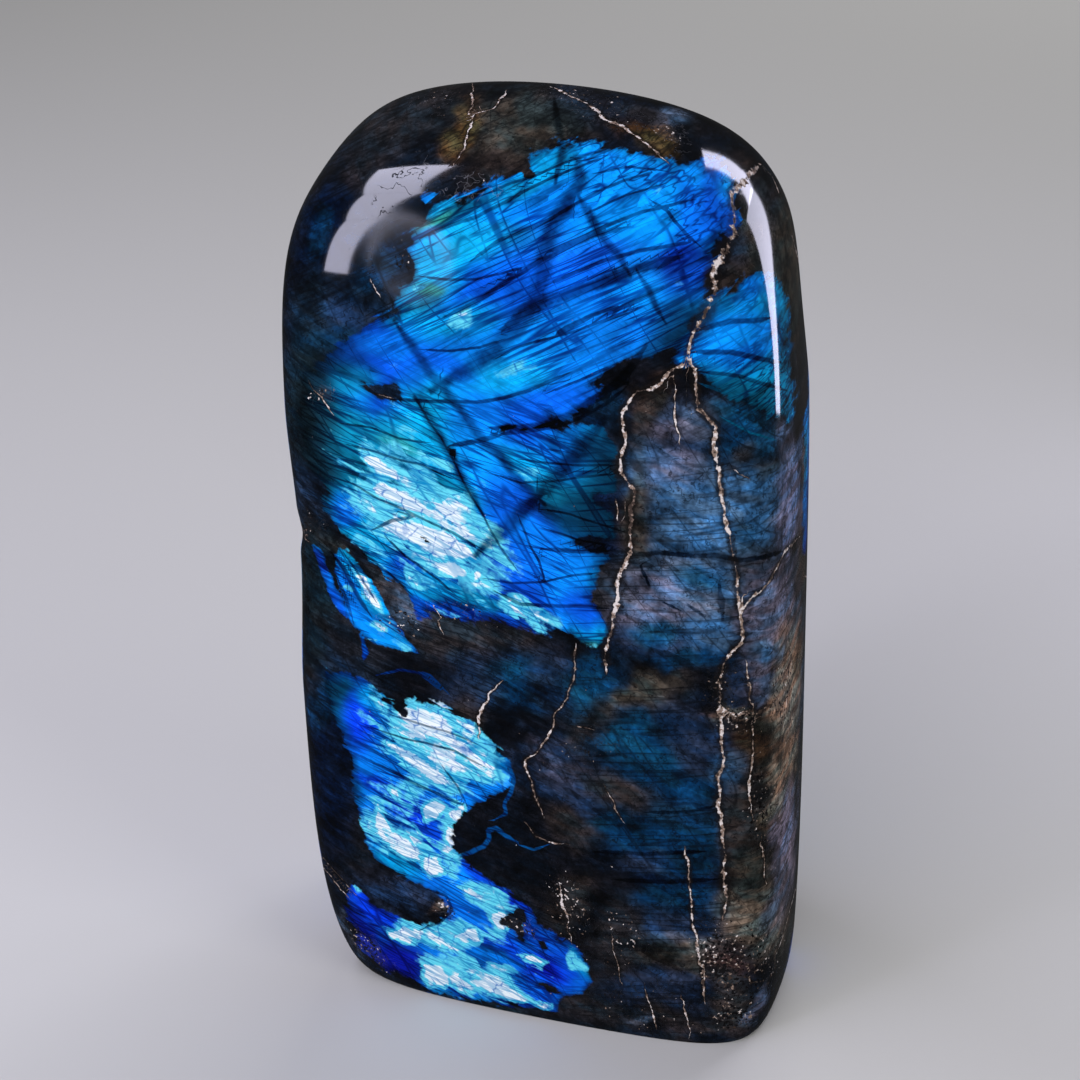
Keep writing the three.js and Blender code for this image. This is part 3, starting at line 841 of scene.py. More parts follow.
# Straight breaks along the cleavage of the feldspar cut through the colour, some dark and
# sharp, some broad and soft because they lie deeper. Width in pixels, then the line.
DARK_LINES = [
    (4, [(334, 556), (345, 570), (352, 585), (360, 600), (368, 612)]),
    (2, [(346, 556), (360, 576), (374, 598)]),
    (3, [(338, 580), (346, 600), (352, 618)]),
    (3, [(610, 312), (640, 298), (668, 286), (694, 274)]),
    (3, [(560, 330), (590, 316), (620, 306)]),
    (3, [(600, 172), (630, 166), (660, 170)]),
    (4, [(700, 330), (730, 322), (770, 318)]),
    (4, [(696, 352), (730, 352), (780, 362)]),
    (3, [(704, 372), (740, 376), (786, 390)]),
    (8, [(505, 327), (526, 313), (550, 300), (576, 291), (601, 283), (626, 272), (650, 265), (676, 259)]),
    (4, [(450, 315), (476, 302), (500, 286), (526, 270), (545, 258), (570, 246), (592, 236), (622, 228)]),
    (3, [(490, 192), (510, 183), (530, 177), (552, 168), (576, 158), (602, 150)]),
    (3, [(425, 236), (450, 226), (476, 218), (500, 205), (526, 190), (550, 178), (576, 168), (602, 157)]),
    (3, [(475, 258), (500, 240), (522, 231), (550, 219), (576, 203), (602, 190), (626, 180), (652, 172)]),
    (2, [(585, 214), (610, 202), (636, 192), (662, 184)]),
    (3, [(548, 252), (576, 240), (600, 228), (640, 212), (690, 201)]),
    (3, [(550, 284), (576, 272), (600, 262), (640, 250), (690, 243)]),
    (3, [(654, 202), (668, 211), (676, 222), (688, 236), (697, 244)]),
    (2, [(425, 277), (450, 279), (476, 279), (500, 274), (520, 268)]),
    (2, [(425, 350), (450, 351), (480, 347), (500, 340)]),
    (2, [(500, 356), (520, 346), (545, 339), (575, 331), (600, 322), (630, 312)]),
    (3, [(398, 400), (440, 402), (476, 402), (504, 398), (528, 391), (550, 381), (564, 375)]),
    (2, [(550, 392), (580, 380), (610, 366)]),
    (7, [(496, 428), (520, 429), (546, 425), (572, 415), (600, 396), (624, 376), (642, 350)]),
    (4, [(452, 446), (476, 441), (500, 435)]),
    (3, [(500, 434), (530, 431), (556, 427), (580, 418), (606, 404), (622, 390)]),
    (2, [(418, 402), (430, 422), (442, 438), (451, 455), (460, 475), (470, 494), (480, 510), (490, 528),
         (500, 546), (514, 566)]),
    (2, [(524, 460), (550, 463), (580, 466), (612, 465)]),
    (2, [(500, 476), (520, 482), (550, 482), (580, 478), (612, 474)]),
    (3, [(376, 528), (392, 521), (412, 518)]),
    (2, [(350, 482), (376, 497), (400, 509), (426, 521), (452, 532), (478, 547)]),
    (2, [(346, 424), (372, 428), (400, 438), (425, 442)]),
    (2, [(352, 446), (376, 452), (400, 460), (424, 466), (446, 476)]),
    (2, [(388, 540), (404, 556), (420, 568), (440, 582), (452, 592)]),
    (2, [(366, 556), (390, 575), (408, 592)]),
    (2, [(490, 580), (512, 583), (542, 583), (572, 576), (592, 574)]),
    (3, [(500, 594), (520, 604), (545, 606), (575, 606), (602, 608)]),
    (2, [(520, 520), (530, 545), (538, 560), (545, 580)]),
    (2, [(545, 510), (570, 514), (600, 524), (620, 530)]),
    (2, [(548, 530), (580, 540), (612, 546)]),
    (4, [(546, 549), (580, 552), (612, 550)]),
    (3, [(352, 752), (376, 764), (400, 775), (420, 786), (440, 794), (462, 804)]),
    (2, [(380, 730), (404, 738), (430, 744), (456, 752), (480, 764)]),
    (2, [(396, 716), (420, 724), (446, 732), (472, 742)]),
    (2, [(446, 770), (458, 786), (466, 802)]),
    (3, [(430, 890), (446, 896), (452, 910), (440, 922), (424, 928)]),
    (4, [(634, 555), (660, 553), (690, 556), (714, 556), (740, 560), (764, 557), (782, 552)]),
    (6, [(720, 590), (722, 614)]),
    (5, [(692, 608), (700, 614)]),
    (4, [(668, 604), (676, 608)]),
    (5, [(643, 570), (647, 580)]),
    (4, [(598, 852), (640, 854), (700, 852)]),
    (4, [(620, 880), (660, 882), (712, 880)]),
    (3, [(650, 812), (690, 812), (716, 806)]),
]
DEEP_BANDS = [
    (17, [(578, 162), (580, 182), (566, 206), (551, 226), (545, 250), (543, 272), (540, 292), (532, 308),
          (520, 322), (508, 338), (490, 354), (472, 366), (454, 376), (436, 388)]),
    (10, [(398, 326), (414, 350), (430, 374), (446, 392), (458, 408), (472, 424), (484, 442), (500, 456),
         (514, 474), (528, 488), (540, 500)]),
    (8, [(580, 198), (592, 220), (604, 240), (620, 257), (628, 270)]),
    (6, [(640, 274), (650, 292), (656, 306), (663, 318)]),
    (15, [(600, 424), (574, 456), (545, 490), (510, 524), (480, 552)]),
    (10, [(418, 402), (442, 438), (460, 475), (480, 510)]),
    (8, [(555, 100), (562, 150), (556, 178)]),
]
# Healed fractures stand out because tan to white mineral fills them. They run on over the
# edges of the face. The short ones at the end are single pale grains, painted bright as
# glints where they catch the light: painted highlights.
VEINS_AND_GLINTS = [
    (7, [(762, 163), (751, 172), (732, 195), (734, 218), (732, 237), (722, 258), (713, 272), (713, 295),
         (703, 323), (692, 342)]),
    (4, [(694, 338), (684, 361)]),
    (4, [(682, 365), (665, 376), (653, 390), (636, 392), (623, 415), (624, 449), (621, 472), (634, 491),
         (630, 530), (630, 552), (619, 575), (617, 604), (612, 626), (607, 646), (605, 668)]),
    (4, [(689, 355), (695, 380), (699, 411), (714, 426), (716, 453), (722, 497), (728, 526), (731, 552),
         (738, 577), (739, 604), (741, 642), (722, 665), (718, 680), (720, 703), (720, 722), (722, 760),
         (717, 780), (720, 809), (724, 856), (726, 895), (724, 914)]),
    (4, [(799, 537), (785, 551), (770, 581), (755, 596), (741, 613)]),
    (2.5, [(747, 669), (751, 703), (753, 741), (750, 789), (754, 818)]),
    (4, [(718, 703), (734, 714), (751, 713), (770, 707)]),
    (2.5, [(575, 650), (573, 682), (567, 699), (555, 715), (555, 730), (542, 747), (524, 762), (530, 780),
           (538, 800), (541, 812)]),
    (2.5, [(500, 684), (487, 696), (479, 719), (479, 734)]),
    (2.5, [(686, 853), (689, 887), (692, 923), (699, 948), (702, 981), (704, 1000)]),
    (1.5, [(674, 386), (676, 415), (678, 438)]),
    (3.5, [(556, 88), (588, 103), (607, 119), (623, 128), (649, 145), (665, 161)]),
    (2.5, [(471, 84), (473, 107), (468, 118)]),
    (2, [(506, 92), (492, 108), (476, 114), (470, 130), (464, 146), (456, 160)]),
    (1.5, [(316, 851), (343, 880), (351, 889)]),
    (1.5, [(318, 862), (336, 884), (344, 892)]),
    (2, [(528, 826), (536, 836), (552, 842), (564, 844)]),
    (1.5, [(606, 790), (614, 806), (622, 818)]),
    (2.5, [(560, 890), (562, 906), (568, 922), (572, 940)]),
    (1.2, [(612, 940), (616, 962), (620, 980)]),
    (1.5, [(646, 990), (652, 1010), (654, 1024)]),
    (1.2, [(682, 1000), (686, 1020), (688, 1034)]),
    (3, [(762, 840), (764, 860), (766, 880)]),
    (2, [(797, 885), (785, 930), (775, 960)]),
    (1.5, [(314, 388), (320, 396), (330, 410)]),
    (2, [(762, 163), (772, 176), (781, 196)]),
    # Painted glints: single grains, painted pale where they catch the light.
    (3, [(617, 507), (618, 515)]),
    (3, [(381, 396), (386, 397)]),
    (2, [(439, 612), (441, 615)]),
    (3, [(439, 622), (441, 627)]),
    (3, [(375, 286), (377, 290)]),
    (4, [(298, 527), (304, 529)]),
    (3, [(303, 538), (307, 541)]),
    (2, [(740, 472), (744, 475)]),
    (3, [(582, 727), (588, 728)]),
    (3, [(748, 978), (754, 981)]),
    (3, [(765, 812), (767, 814)]),
]
# On the far side each vein is given by its width in mm and by the turn and tilt, in
# degrees, at which it is seen from the core.
FAR_VEINS = [
    (0.7, [(98, 52), (110, 44), (128, 36), (140, 22), (152, 8), (160, -10), (158, -26), (166, -46)]),
    (0.5, [(140, 22), (158, 26), (178, 34), (198, 52)]),
    (0.5, [(160, -10), (178, -16), (196, -12), (214, -24), (226, -40)]),
    (0.5, [(236, 38), (228, 20), (236, 2), (250, -14), (246, -34)]),
    (0.4, [(96, -4), (112, -12), (128, -30), (132, -46)]),
    (0.5, [(262, 50), (272, 24), (264, 6), (276, -18)]),
]
# The lines are followed in steps of so many pixels, or degrees on the far side.
LINE_STEP = 1.5
FAR_STEP = 0.3

# Finds the point of the mesh that the photo shows nearest to a pixel.
seen_tree = kdtree.KDTree(len(places))
for i, (x, y) in enumerate(seen_at.tolist()):
    if facing[i] > 0:
        seen_tree.insert((x, y, 0), i)
seen_tree.balance()


def resampled(line, step):
    """Points along a line of straight runs, about step apart."""
    line = np.array(line, float)
    lengths = np.concatenate([[0], np.cumsum(np.linalg.norm(np.diff(line, axis=0), axis=1))])
    at = np.linspace(0, lengths[-1], max(3, round(lengths[-1] / step)))
    return np.stack([np.interp(at, lengths, line[:, axis]) for axis in range(2)], axis=1)


def on_the_stone(pixels):
    """The points of the stone that the photo shows at these pixels."""
    near = [seen_tree.find((x, y, 0))[1] for x, y in pixels.tolist()]
    across = (pixels[:, :1] - PHOTO_PX / 2) * camera_right
    up = (PHOTO_PX / 2 - pixels[:, 1:]) * camera_up
    sight = across + up - FOCAL_PX * towards_camera
    reach = ((places[near] - camera_place) * normals[near]).sum(1) / (sight * normals[near]).sum(1)
    return camera_place + sight * reach[:, None]


# A line thins to this share of its width at its ends, over so many of its half widths.
TIP_SHARE = 0.4
TIP_LENGTH = 6


def by_line(lines, points):
    """How far points lie to the side of the nearest of some lines on the stone, in that
    line's half widths, and how far they lie past its edge, in mm. lines are half widths
    and points in mm."""
    spots = np.concatenate([spots for _, spots in lines])
    runs = np.concatenate([np.gradient(spots, axis=0) for _, spots in lines])
    halves = []
    for half, line_spots in lines:
        from_end = np.minimum(np.arange(len(line_spots)), np.arange(len(line_spots))[::-1])
        full = TIP_SHARE + from_end * LINE_STEP * PX / (TIP_LENGTH * half)
        halves.append(half * np.clip(full, 0, 1))
    halves = np.concatenate(halves)
    tree = kdtree.KDTree(len(spots))
    for i, spot in enumerate(spots.tolist()):
        tree.insert(spot, i)
    tree.balance()
    near = [tree.find(point)[1] for point in points.tolist()]
    away = points - spots[near]
    sides = np.cross(normals, runs[near])
    sides /= np.linalg.norm(sides, axis=1, keepdims=True) + 1e-9
    return (away * sides).sum(1) / halves[near], np.linalg.norm(away, axis=1) - halves[near]


def drawn(lines):
    """Lines given in the photo's pixels, as half widths and points on the stone in mm."""
    return [(width * PX / 2, on_the_stone(resampled(line, LINE_STEP))) for width, line in lines]


far_veins = []
for width, line in FAR_VEINS:
    turn, tilt = resampled(line, FAR_STEP).T
    far_veins.append((width / 2, real_size(finished_points(direction(turn, tilt)))))

# Veins are jagged and breaks nearly straight: how far each strays, and over what length.
VEIN_STRAYS = 0.6
VEIN_BEND = 3
VEIN_SHAKES = 0.35
VEIN_TOOTH = 1.1
BREAK_STRAYS = 0.25
BREAK_BEND = 6
jagged = places + VEIN_STRAYS * wander(places, VEIN_BEND, 111, axes=3)
jagged += VEIN_SHAKES * wander(places, VEIN_TOOTH, 121, axes=3)
nearly_straight = places + BREAK_STRAYS * wander(places, BREAK_BEND, 131, axes=3)
vein_side, vein_past = by_line(drawn(VEINS_AND_GLINTS) + far_veins, jagged)
dark_side, dark_past = by_line(drawn(DARK_LINES), nearly_straight)
band_side, band_past = by_line(drawn(DEEP_BANDS), nearly_straight)

# Thin bright ribbons of blue that lie alone in the dark: width in pixels, then the line.
RIBBONS = [
    (4, [(482, 736), (496, 752), (508, 764), (514, 780), (510, 794), (504, 804), (506, 814), (498, 818)]),
    (5, [(456, 856), (470, 852), (484, 846), (490, 838), (488, 830), (496, 828), (506, 836), (516, 842)]),
    (3, [(382, 674), (400, 670), (420, 674), (432, 684), (440, 690)]),
    (3, [(418, 672), (430, 676), (444, 690)]),
    (4, [(552, 944), (572, 958), (582, 972), (578, 986), (562, 990)]),
    (3, [(520, 846), (534, 850), (544, 846)]),
    (3, [(702, 384), (730, 394), (750, 402), (768, 408)]),
    (2, [(726, 420), (750, 434), (774, 440)]),
]
ribbon_side, ribbon_past = by_line(drawn(RIBBONS), nearly_straight)

# How strongly each set of fine parallel lines shows: those that rise to the right in the
# photo, in its upper half, those that fall to the right below, and the nearly level ones
# that lie right of and below one place.
RISING_ABOVE = (480, 400)
LEVEL_FROM = (545, 430)
LEVEL_SOFT = 40
FAINTEST = 0.1
right, down = patch_at.T
upper = smooth_step(-30, 70, RISING_ABOVE[1] - down + 0.25 * (right - RISING_ABOVE[0]))
level = smooth_step(0, LEVEL_SOFT, right - LEVEL_FROM[0])
level *= smooth_step(0, LEVEL_SOFT, down - LEVEL_FROM[1])
falling = np.clip(1 - upper - 0.7 * level, 1.2 * FAINTEST, 1)
rising = np.clip(upper, FAINTEST, 1)
level = np.maximum(level, FAINTEST)

# Where grains were plucked out or the stone never took a polish: x, y, length, width,
# lean and strength.
PITTED = [
    (722, 962, 100, 60, -75, 1.0),
    (733, 1015, 50, 40, 0, 1.0),
    (570, 905, 90, 40, -70, 0.8),
    (620, 940, 60, 60, 0, 0.6),
    (455, 615, 90, 24, -10, 0.5),
    (402, 262, 40, 24, -60, 0.8),
    (475, 190, 60, 30, 0, 0.4),
    (520, 926, 40, 26, -20, 0.9),
    (650, 1020, 140, 24, -8, 0.6),
    (740, 720, 60, 30, -10, 0.9),
    (762, 800, 30, 120, 0, 0.8),
    (788, 700, 34, 110, 0, 0.9),
    (758, 960, 60, 90, 0, 0.8),
    (305, 530, 34, 30, 0, 0.9),
    (322, 398, 26, 22, 0, 0.8),
    (366, 946, 70, 20, -45, 0.9),
    (437, 908, 26, 22, 0, 0.9),
    (722, 690, 40, 44, 0, 0.8),
    (400, 618, 50, 30, -30, 0.8),
    (600, 105, 160, 30, -20, 0.5),
    (430, 100, 50, 26, 0, 0.6),
    (665, 130, 60, 24, -30, 0.8),
    (400, 185, 90, 40, 50, 0.3),
    (590, 745, 70, 60, 0, 0.4),
    (630, 1000, 120, 50, 0, 0.4),
]
pits = np.zeros(len(places))
for x, y, long, short, lean, strength in PITTED:
    pits = np.maximum(pits, strength * dab(body_at, x, y, long, short, lean))
# Soft spots in the polish don't gloss: the pitted ones, and one by the upper field.
WORN_SPOT = (412, 262, 84, 70, -60)
worn = 0.9 * dab(seen_at, *WORN_SPOT) * shown + 0.6 * smooth_step(0.5, 0.9, pits)
FAR_PITS = 10
far_pitted = 0.7 * smooth_step(0.7, 0.85, mottle(places, FAR_PITS, 41))
pits = pits * shown + (1 - shown) * far_pitted


# The surface follows the polish: a hand-held stone comes off the wheel a little wavy, its
# vein filling wears lower than the hard feldspar, and flawed spots stay pitted. All of it
# is let into the ground form, so the stone keeps its size.
WAVE_DEPTH = 0.06
WAVE_LENGTH = 16
VEIN_GROOVE = 0.03
PIT_DEPTH = 0.25
PIT_WIDTH = 1.6
UNTOUCHED_RIM = 1.5

groove = 1 - smooth_step(0.6, 1.6, np.abs(vein_side))
groove *= 1 - smooth_step(0.9, 1.4, vein_past)
let_in = WAVE_DEPTH * mottle(places, WAVE_LENGTH, 151) + VEIN_GROOVE * groove
pitting = smooth_step(0.5, 1, pits) * smooth_step(0.5, 0.9, mottle(places, PIT_WIDTH, 152))
let_in += PIT_DEPTH * pitting
# The rim and the base stay as they were sawn and rubbed down.
let_in[:AROUND] = let_in[-1] = 0
above_base = smooth_step(0, UNTOUCHED_RIM, places[:, 2])
relief = places - normals * (let_in * above_base)[:, None]

stone_mesh = bpy.data.meshes.new(STONE_NODE)
stone_mesh.from_pydata((relief * MM).tolist(), [], quads + crown_fan + base_fan)
# The wall is shaded smooth and the sawn base flat, with a sharp edge between them.
stone_mesh.polygons.foreach_set("use_smooth", [True] * (len(quads) + AROUND) + [False] * AROUND)
rim_edges = {(i, j) if i < j else (j, i) for i, j in zip(in_ring.tolist(), next_in_ring.tolist())}
for edge in stone_mesh.edges:
    if tuple(edge.vertices) in rim_edges:
        edge.use_edge_sharp = True

# The mesh keeps all of this at its points for the material.
kept_values = {
    "flash": flash,
    "hot": hot,
    "pits": pits,
    "worn": worn,
    "rising": rising,
    "falling": falling,
    "level": level,
    "vein side": vein_side,
    "vein past": vein_past,
    "dark side": dark_side,
    "dark past": dark_past,
    "band side": band_side,
    "band past": band_past,
    "ribbon side": ribbon_side,
    "ribbon past": ribbon_past,
}
kept_colours = {"body": body, "flash colour": flash_colour}
LARGEST_KEPT = 60
for name, values in kept_values.items():
    layer = stone_mesh.attributes.new(name, "FLOAT", "POINT")
    values = np.clip(values, -LARGEST_KEPT, LARGEST_KEPT)
    layer.data.foreach_set("value", values.astype(np.float32))
for name, colours in kept_colours.items():
    layer = stone_mesh.attributes.new(name, "FLOAT_COLOR", "POINT")
    solid = np.concatenate([np.clip(colours, 0, 1), np.ones((len(places), 1))], axis=1)
    layer.data.foreach_set("color", solid.astype(np.float32).ravel())

stone = bpy.data.objects.new("polished_labradorite", stone_mesh)
bpy.context.collection.objects.link(stone)

# Labradorite polished to a glassy gloss: a hard clear surface, which gives sharp bright
# reflections, with all of the colour under it. Feldspar has an index of refraction of
# 1.56. Vein filling, pits and worn spots don't take the polish and stay dull.
FELDSPAR_IOR = 1.56
POLISH = 0.06
UNPOLISHED = 0.85
# Grains, beads, cracks, clouds and patches in the stone, by their size in mm.
PIT_GRAIN = 0.7
GRIT = 0.9
BEAD = 1.3
CRACKLE = 4
CLOUD = 5
PATCH = 9

polished = bpy.data.materials.new("polished labradorite")
polished.use_nodes = True
tree = polished.node_tree
tree.nodes.clear()


def node(kind, inputs=(), output=0, **settings):
    """Adds a node with these settings, links or sets its inputs, and gives an output."""
    made = tree.nodes.new("ShaderNode" + kind)
    for name, value in settings.items():
        setattr(made, name, value)
    for socket, value in dict(inputs).items():
        if isinstance(value, bpy.types.NodeSocket):
            tree.links.new(value, made.inputs[socket])
        else:
            made.inputs[socket].default_value = value
    return made.outputs[output]


def rgba(colour):
    """A colour as a socket takes it."""
    return (*colour, 1.0)


kept = {}
for name in kept_values:
    kept[name] = node("Attribute", output="Fac", attribute_name=name)
for name in kept_colours:
    kept[name] = node("Attribute", output="Color", attribute_name=name)

in_metres = node("TexCoord", output="Object")
in_mm = node("VectorMath", {0: in_metres, "Scale": 1 / MM}, operation="SCALE")
grit = node("TexNoise", {"Vector": in_mm, "Scale": 1 / GRIT, "Detail": 3.0, "Roughness": 0.6})
bead = node("TexNoise", {"Vector": in_mm, "Scale": 1 / BEAD, "Detail": 2.0, "Roughness": 0.75})
cloud = node("TexNoise", {"Vector": in_mm, "Scale": 1 / CLOUD, "Detail": 3.0, "Roughness": 0.62})
patchy = node("TexNoise", {"Vector": in_mm, "Scale": 1 / PATCH, "Detail": 1.0})


def lean_on_face(lean):
    """The lean on the stone's face of what leans this much in the photo, in radians."""
    rise_seen = math.tan(math.radians(lean)) * camera_right[0] - camera_up[0]
    return math.atan2(rise_seen, camera_up[2])


# The layers run this many times as far into the stone as they are broad.
LAYER_DEPTH = 5


def drawn_out(lean, length, breadth, place):
    """Coordinates for a pattern that is drawn out so much, in mm, along lines that rise
    lean degrees to the right in the photo. place tells its patterns apart."""
    turned = node("VectorRotate", {"Vector": in_mm, "Angle": lean_on_face(lean)},
                  rotation_type="Y_AXIS")
    scale = (1 / length, 1 / (LAYER_DEPTH * breadth), 1 / breadth)
    return node("Mapping", {"Vector": turned, "Location": (place, place, place), "Scale": scale})


def lines_in(noise, width):
    """1 along the lines where the noise crosses its middle value, fading to 0 beside."""
    off = node("Math", {0: noise, 1: 0.5}, operation="SUBTRACT")
    off = node("Math", {0: off}, operation="ABSOLUTE")
    return node("MapRange", {"Value": off, "From Max": width, "To Min": 1.0, "To Max": 0.0},
                interpolation_type="SMOOTHSTEP")


def along_line(name, core, edge, ragged=0.0, rough=grit):
    """1 on the lines kept under this name, out to core half widths, and 0 beyond edge."""
    off = node("Math", {0: kept[name + " side"]}, operation="ABSOLUTE")
    if ragged:
        off = node("Math", {0: rough, 1: ragged, 2: off}, operation="MULTIPLY_ADD")
    on = node("MapRange", {"Value": off, "From Min": core + ragged / 2, "From Max": edge + ragged / 2,
                           "To Min": 1.0, "To Max": 0.0}, interpolation_type="SMOOTHSTEP")
    near = node("MapRange", {"Value": kept[name + " past"], "From Min": 0.7, "From Max": 1.3,
                             "To Min": 1.0, "To Max": 0.0})
    return node("Math", {0: on, 1: near}, operation="MULTIPLY")


# Fine dark lines in sets of the lean that the photo shows: the lean in degrees, the
# length and spacing in mm, the place, how broad the lines are as a share of the noise,
# and how strong they are.
LINE_SETS = [
    (24, 36, 1.5, 3, 0.06, kept["rising"]),
    (19, 22, 0.9, 9, 0.06, kept["rising"]),
    (-38, 16, 0.9, 15, 0.045, 0.35),
    (-29, 30, 1.2, 21, 0.07, kept["falling"]),
    (-17, 24, 1.0, 27, 0.06, kept["falling"]),
    (1, 30, 1.5, 39, 0.07, kept["level"]),
    (-57, 40, 5.0, 51, 0.02, 0.9),
]
fine_lines = 0.0
for lean, length, spacing, place, breadth, strength in LINE_SETS:
    lines_at = drawn_out(lean, length, spacing, place)
    crossing = node("TexNoise", {"Vector": lines_at, "Scale": 1.0, "Detail": 1.0})
    weighed = node("Math", {0: lines_in(crossing, breadth), 1: strength}, operation="MULTIPLY")
    fine_lines = node("Math", {0: weighed, 1: fine_lines}, operation="MAXIMUM")
patches = node("MapRange", {"Value": patchy, "From Min": 0.35, "From Max": 0.55, "To Min": 0.55})
fine_lines = node("Math", {0: fine_lines, 1: patches}, operation="MULTIPLY")

# Between the lines the layers are brighter in some streaks and blocks than in others: the
# lean in degrees, the length and breadth in mm, the place and the strength. sheen is
# about 0 on the whole, and 0.5 in the brightest of them.
STREAK_SETS = [
    (24, 18, 2.0, 63, kept["rising"]),
    (-29, 12, 2.2, 69, kept["falling"]),
]
sheen = node("Math", {0: cloud, 1: 0.5}, operation="SUBTRACT")
for lean, length, breadth, place, strength in STREAK_SETS:
    streaks_at = drawn_out(lean, length, breadth, place)
    streak = node("TexNoise", {"Vector": streaks_at, "Scale": 1.0, "Detail": 2.0})
    in_blocks = drawn_out(lean, length / 2, breadth * 0.6, place)
    block = node("TexVoronoi", {"Vector": in_blocks, "Scale": 1.0}, "Color")
    uneven = node("Math", {0: block, 1: 0.5, 2: streak}, operation="MULTIPLY_ADD")
    uneven = node("Math", {0: uneven, 1: 0.75}, operation="SUBTRACT")
    sheen = node("Math", {0: uneven, 1: strength, 2: sheen}, operation="MULTIPLY_ADD")

# The colour play dims towards the edges of its fields, and breaks off there in splinters.
splinters = node("Math", {0: grit, 1: 0.35, 2: kept["flash"]}, operation="MULTIPLY_ADD")
splinters = node("Math", {0: sheen, 1: 0.6, 2: splinters}, operation="MULTIPLY_ADD")
inner = node("MapRange", {"Value": splinters, "From Min": 0.6, "From Max": 1.05, "To Min": 0.25})
shade = node("MapRange", {"Value": sheen, "From Min": -0.4, "From Max": 0.4,
                          "To Min": 0.55, "To Max": 1.65})
shade = node("Math", {0: shade, 1: inner}, operation="MULTIPLY")
lit = node("VectorMath", {0: kept["flash colour"], "Scale": shade}, operation="SCALE")
hot_level = node("Math", {0: sheen, 1: 0.8, 2: kept["hot"]}, operation="MULTIPLY_ADD")
hot_level = node("Math", {0: grit, 1: 0.3, 2: hot_level}, operation="MULTIPLY_ADD")
to_cyan_ice = node("MapRange", {"Value": hot_level, "From Min": 0.47, "From Max": 0.7},
                   interpolation_type="SMOOTHSTEP")
lit = node("Mix", {0: to_cyan_ice, 6: lit, 7: rgba(CYAN_ICE)}, 2, data_type="RGBA")
to_ice = node("MapRange", {"Value": hot_level, "From Min": 0.82, "From Max": 0.98},
              interpolation_type="SMOOTHSTEP")
lit = node("Mix", {0: to_ice, 6: lit, 7: rgba(ICE)}, 2, data_type="RGBA")

# Where the layers are brightest they are cracked, in patches, into small blocks with blue
# between. The lean, length, breadth and place of the blocks are those of a streak set.
CRACK_BLUE = linear("#0478c8")
CRACK_BLOCKS = (-28, 3.2, 1.3, 45)
crack_at = drawn_out(*CRACK_BLOCKS)
from_crack = node("TexVoronoi", {"Vector": crack_at, "Scale": 1.0, "Randomness": 0.75}, "Distance",
                  feature="DISTANCE_TO_EDGE")
from_crack = node("Math", {0: grit, 1: 0.2, 2: from_crack}, operation="MULTIPLY_ADD")
crack = node("MapRange", {"Value": from_crack, "From Min": 0.1, "From Max": 0.16,
                          "To Min": 0.8, "To Max": 0.0})
in_patches = node("MapRange", {"Value": cloud, "From Min": 0.4, "From Max": 0.56})
crack = node("Math", {0: crack, 1: in_patches}, operation="MULTIPLY")
crack = node("Math", {0: crack, 1: to_cyan_ice}, operation="MULTIPLY")
lit = node("Mix", {0: crack, 6: lit, 7: rgba(CRACK_BLUE)}, 2, data_type="RGBA")

# What each of red, green and blue is multiplied by in a fine line, in the blue and in
# the ice, so that the lines stay bluer than the layers.
LINE_IN_BLUE = (0.02, 0.12, 0.24)
LINE_IN_ICE = (0.03, 0.33, 0.6)
line_tint = node("Mix", {0: to_cyan_ice, 6: rgba(LINE_IN_BLUE), 7: rgba(LINE_IN_ICE)}, 2,
                 data_type="RGBA")
in_lines = node("Mix", {0: 1.0, 6: lit, 7: line_tint}, 2, data_type="RGBA",
                blend_type="MULTIPLY")
line_share = node("Math", {0: to_ice, 1: -0.2, 2: 1.0}, operation="MULTIPLY_ADD")
line_share = node("Math", {0: fine_lines, 1: line_share}, operation="MULTIPLY")
lit = node("Mix", {0: line_share, 6: lit, 7: in_lines}, 2, data_type="RGBA")

# Outside the fields the feldspar is dark and cloudy, in flakes like the blocks of the last
# streak set, flecked with brown and blue, and cracked all through.
BROWN_FLECK = (1.12, 0.98, 0.9)
BLUE_FLECK = (0.68, 1.04, 1.22)
FLECKS = (-24, 6.0, 2.6, 93)
BODY_CRACK = NEAR_BLACK * 0.5
cloudy = node("MapRange", {"Value": cloud, "From Min": 0.3, "From Max": 0.7,
                           "To Min": 0.2, "To Max": 1.9})
gritty = node("MapRange", {"Value": grit, "From Min": 0.3, "From Max": 0.7,
                           "To Min": 0.5, "To Max": 1.5})
flaky = node("MapRange", {"Value": block, "From Min": 0.2, "From Max": 0.8,
                          "To Min": 0.65, "To Max": 1.35})
body_level = node("Math", {0: cloudy, 1: gritty}, operation="MULTIPLY")
body_level = node("Math", {0: body_level, 1: flaky}, operation="MULTIPLY")
body_shade = node("VectorMath", {0: kept["body"], "Scale": body_level}, operation="SCALE")
fleck = node("TexNoise", {"Vector": drawn_out(*FLECKS), "Scale": 1.0, "Detail": 2.0,
                          "Roughness": 0.6})
to_blue = node("MapRange", {"Value": fleck, "From Min": 0.42, "From Max": 0.6})
tint = node("Mix", {0: to_blue, 6: rgba(BROWN_FLECK), 7: rgba(BLUE_FLECK)}, 2,
            data_type="RGBA")
body_shade = node("Mix", {0: 1.0, 6: body_shade, 7: tint}, 2, data_type="RGBA",
                  blend_type="MULTIPLY")
crackle = node("TexNoise", {"Vector": in_mm, "Scale": 1 / CRACKLE, "Detail": 3.0,
                            "Roughness": 0.6})
body_lines = node("Math", {0: fine_lines, 1: lines_in(crackle, 0.018)}, operation="MAXIMUM")
body_lines = node("Math", {0: body_lines, 1: 0.75}, operation="MULTIPLY")
body_shade = node("Mix", {0: body_lines, 6: body_shade, 7: rgba(BODY_CRACK)}, 2,
                  data_type="RGBA")

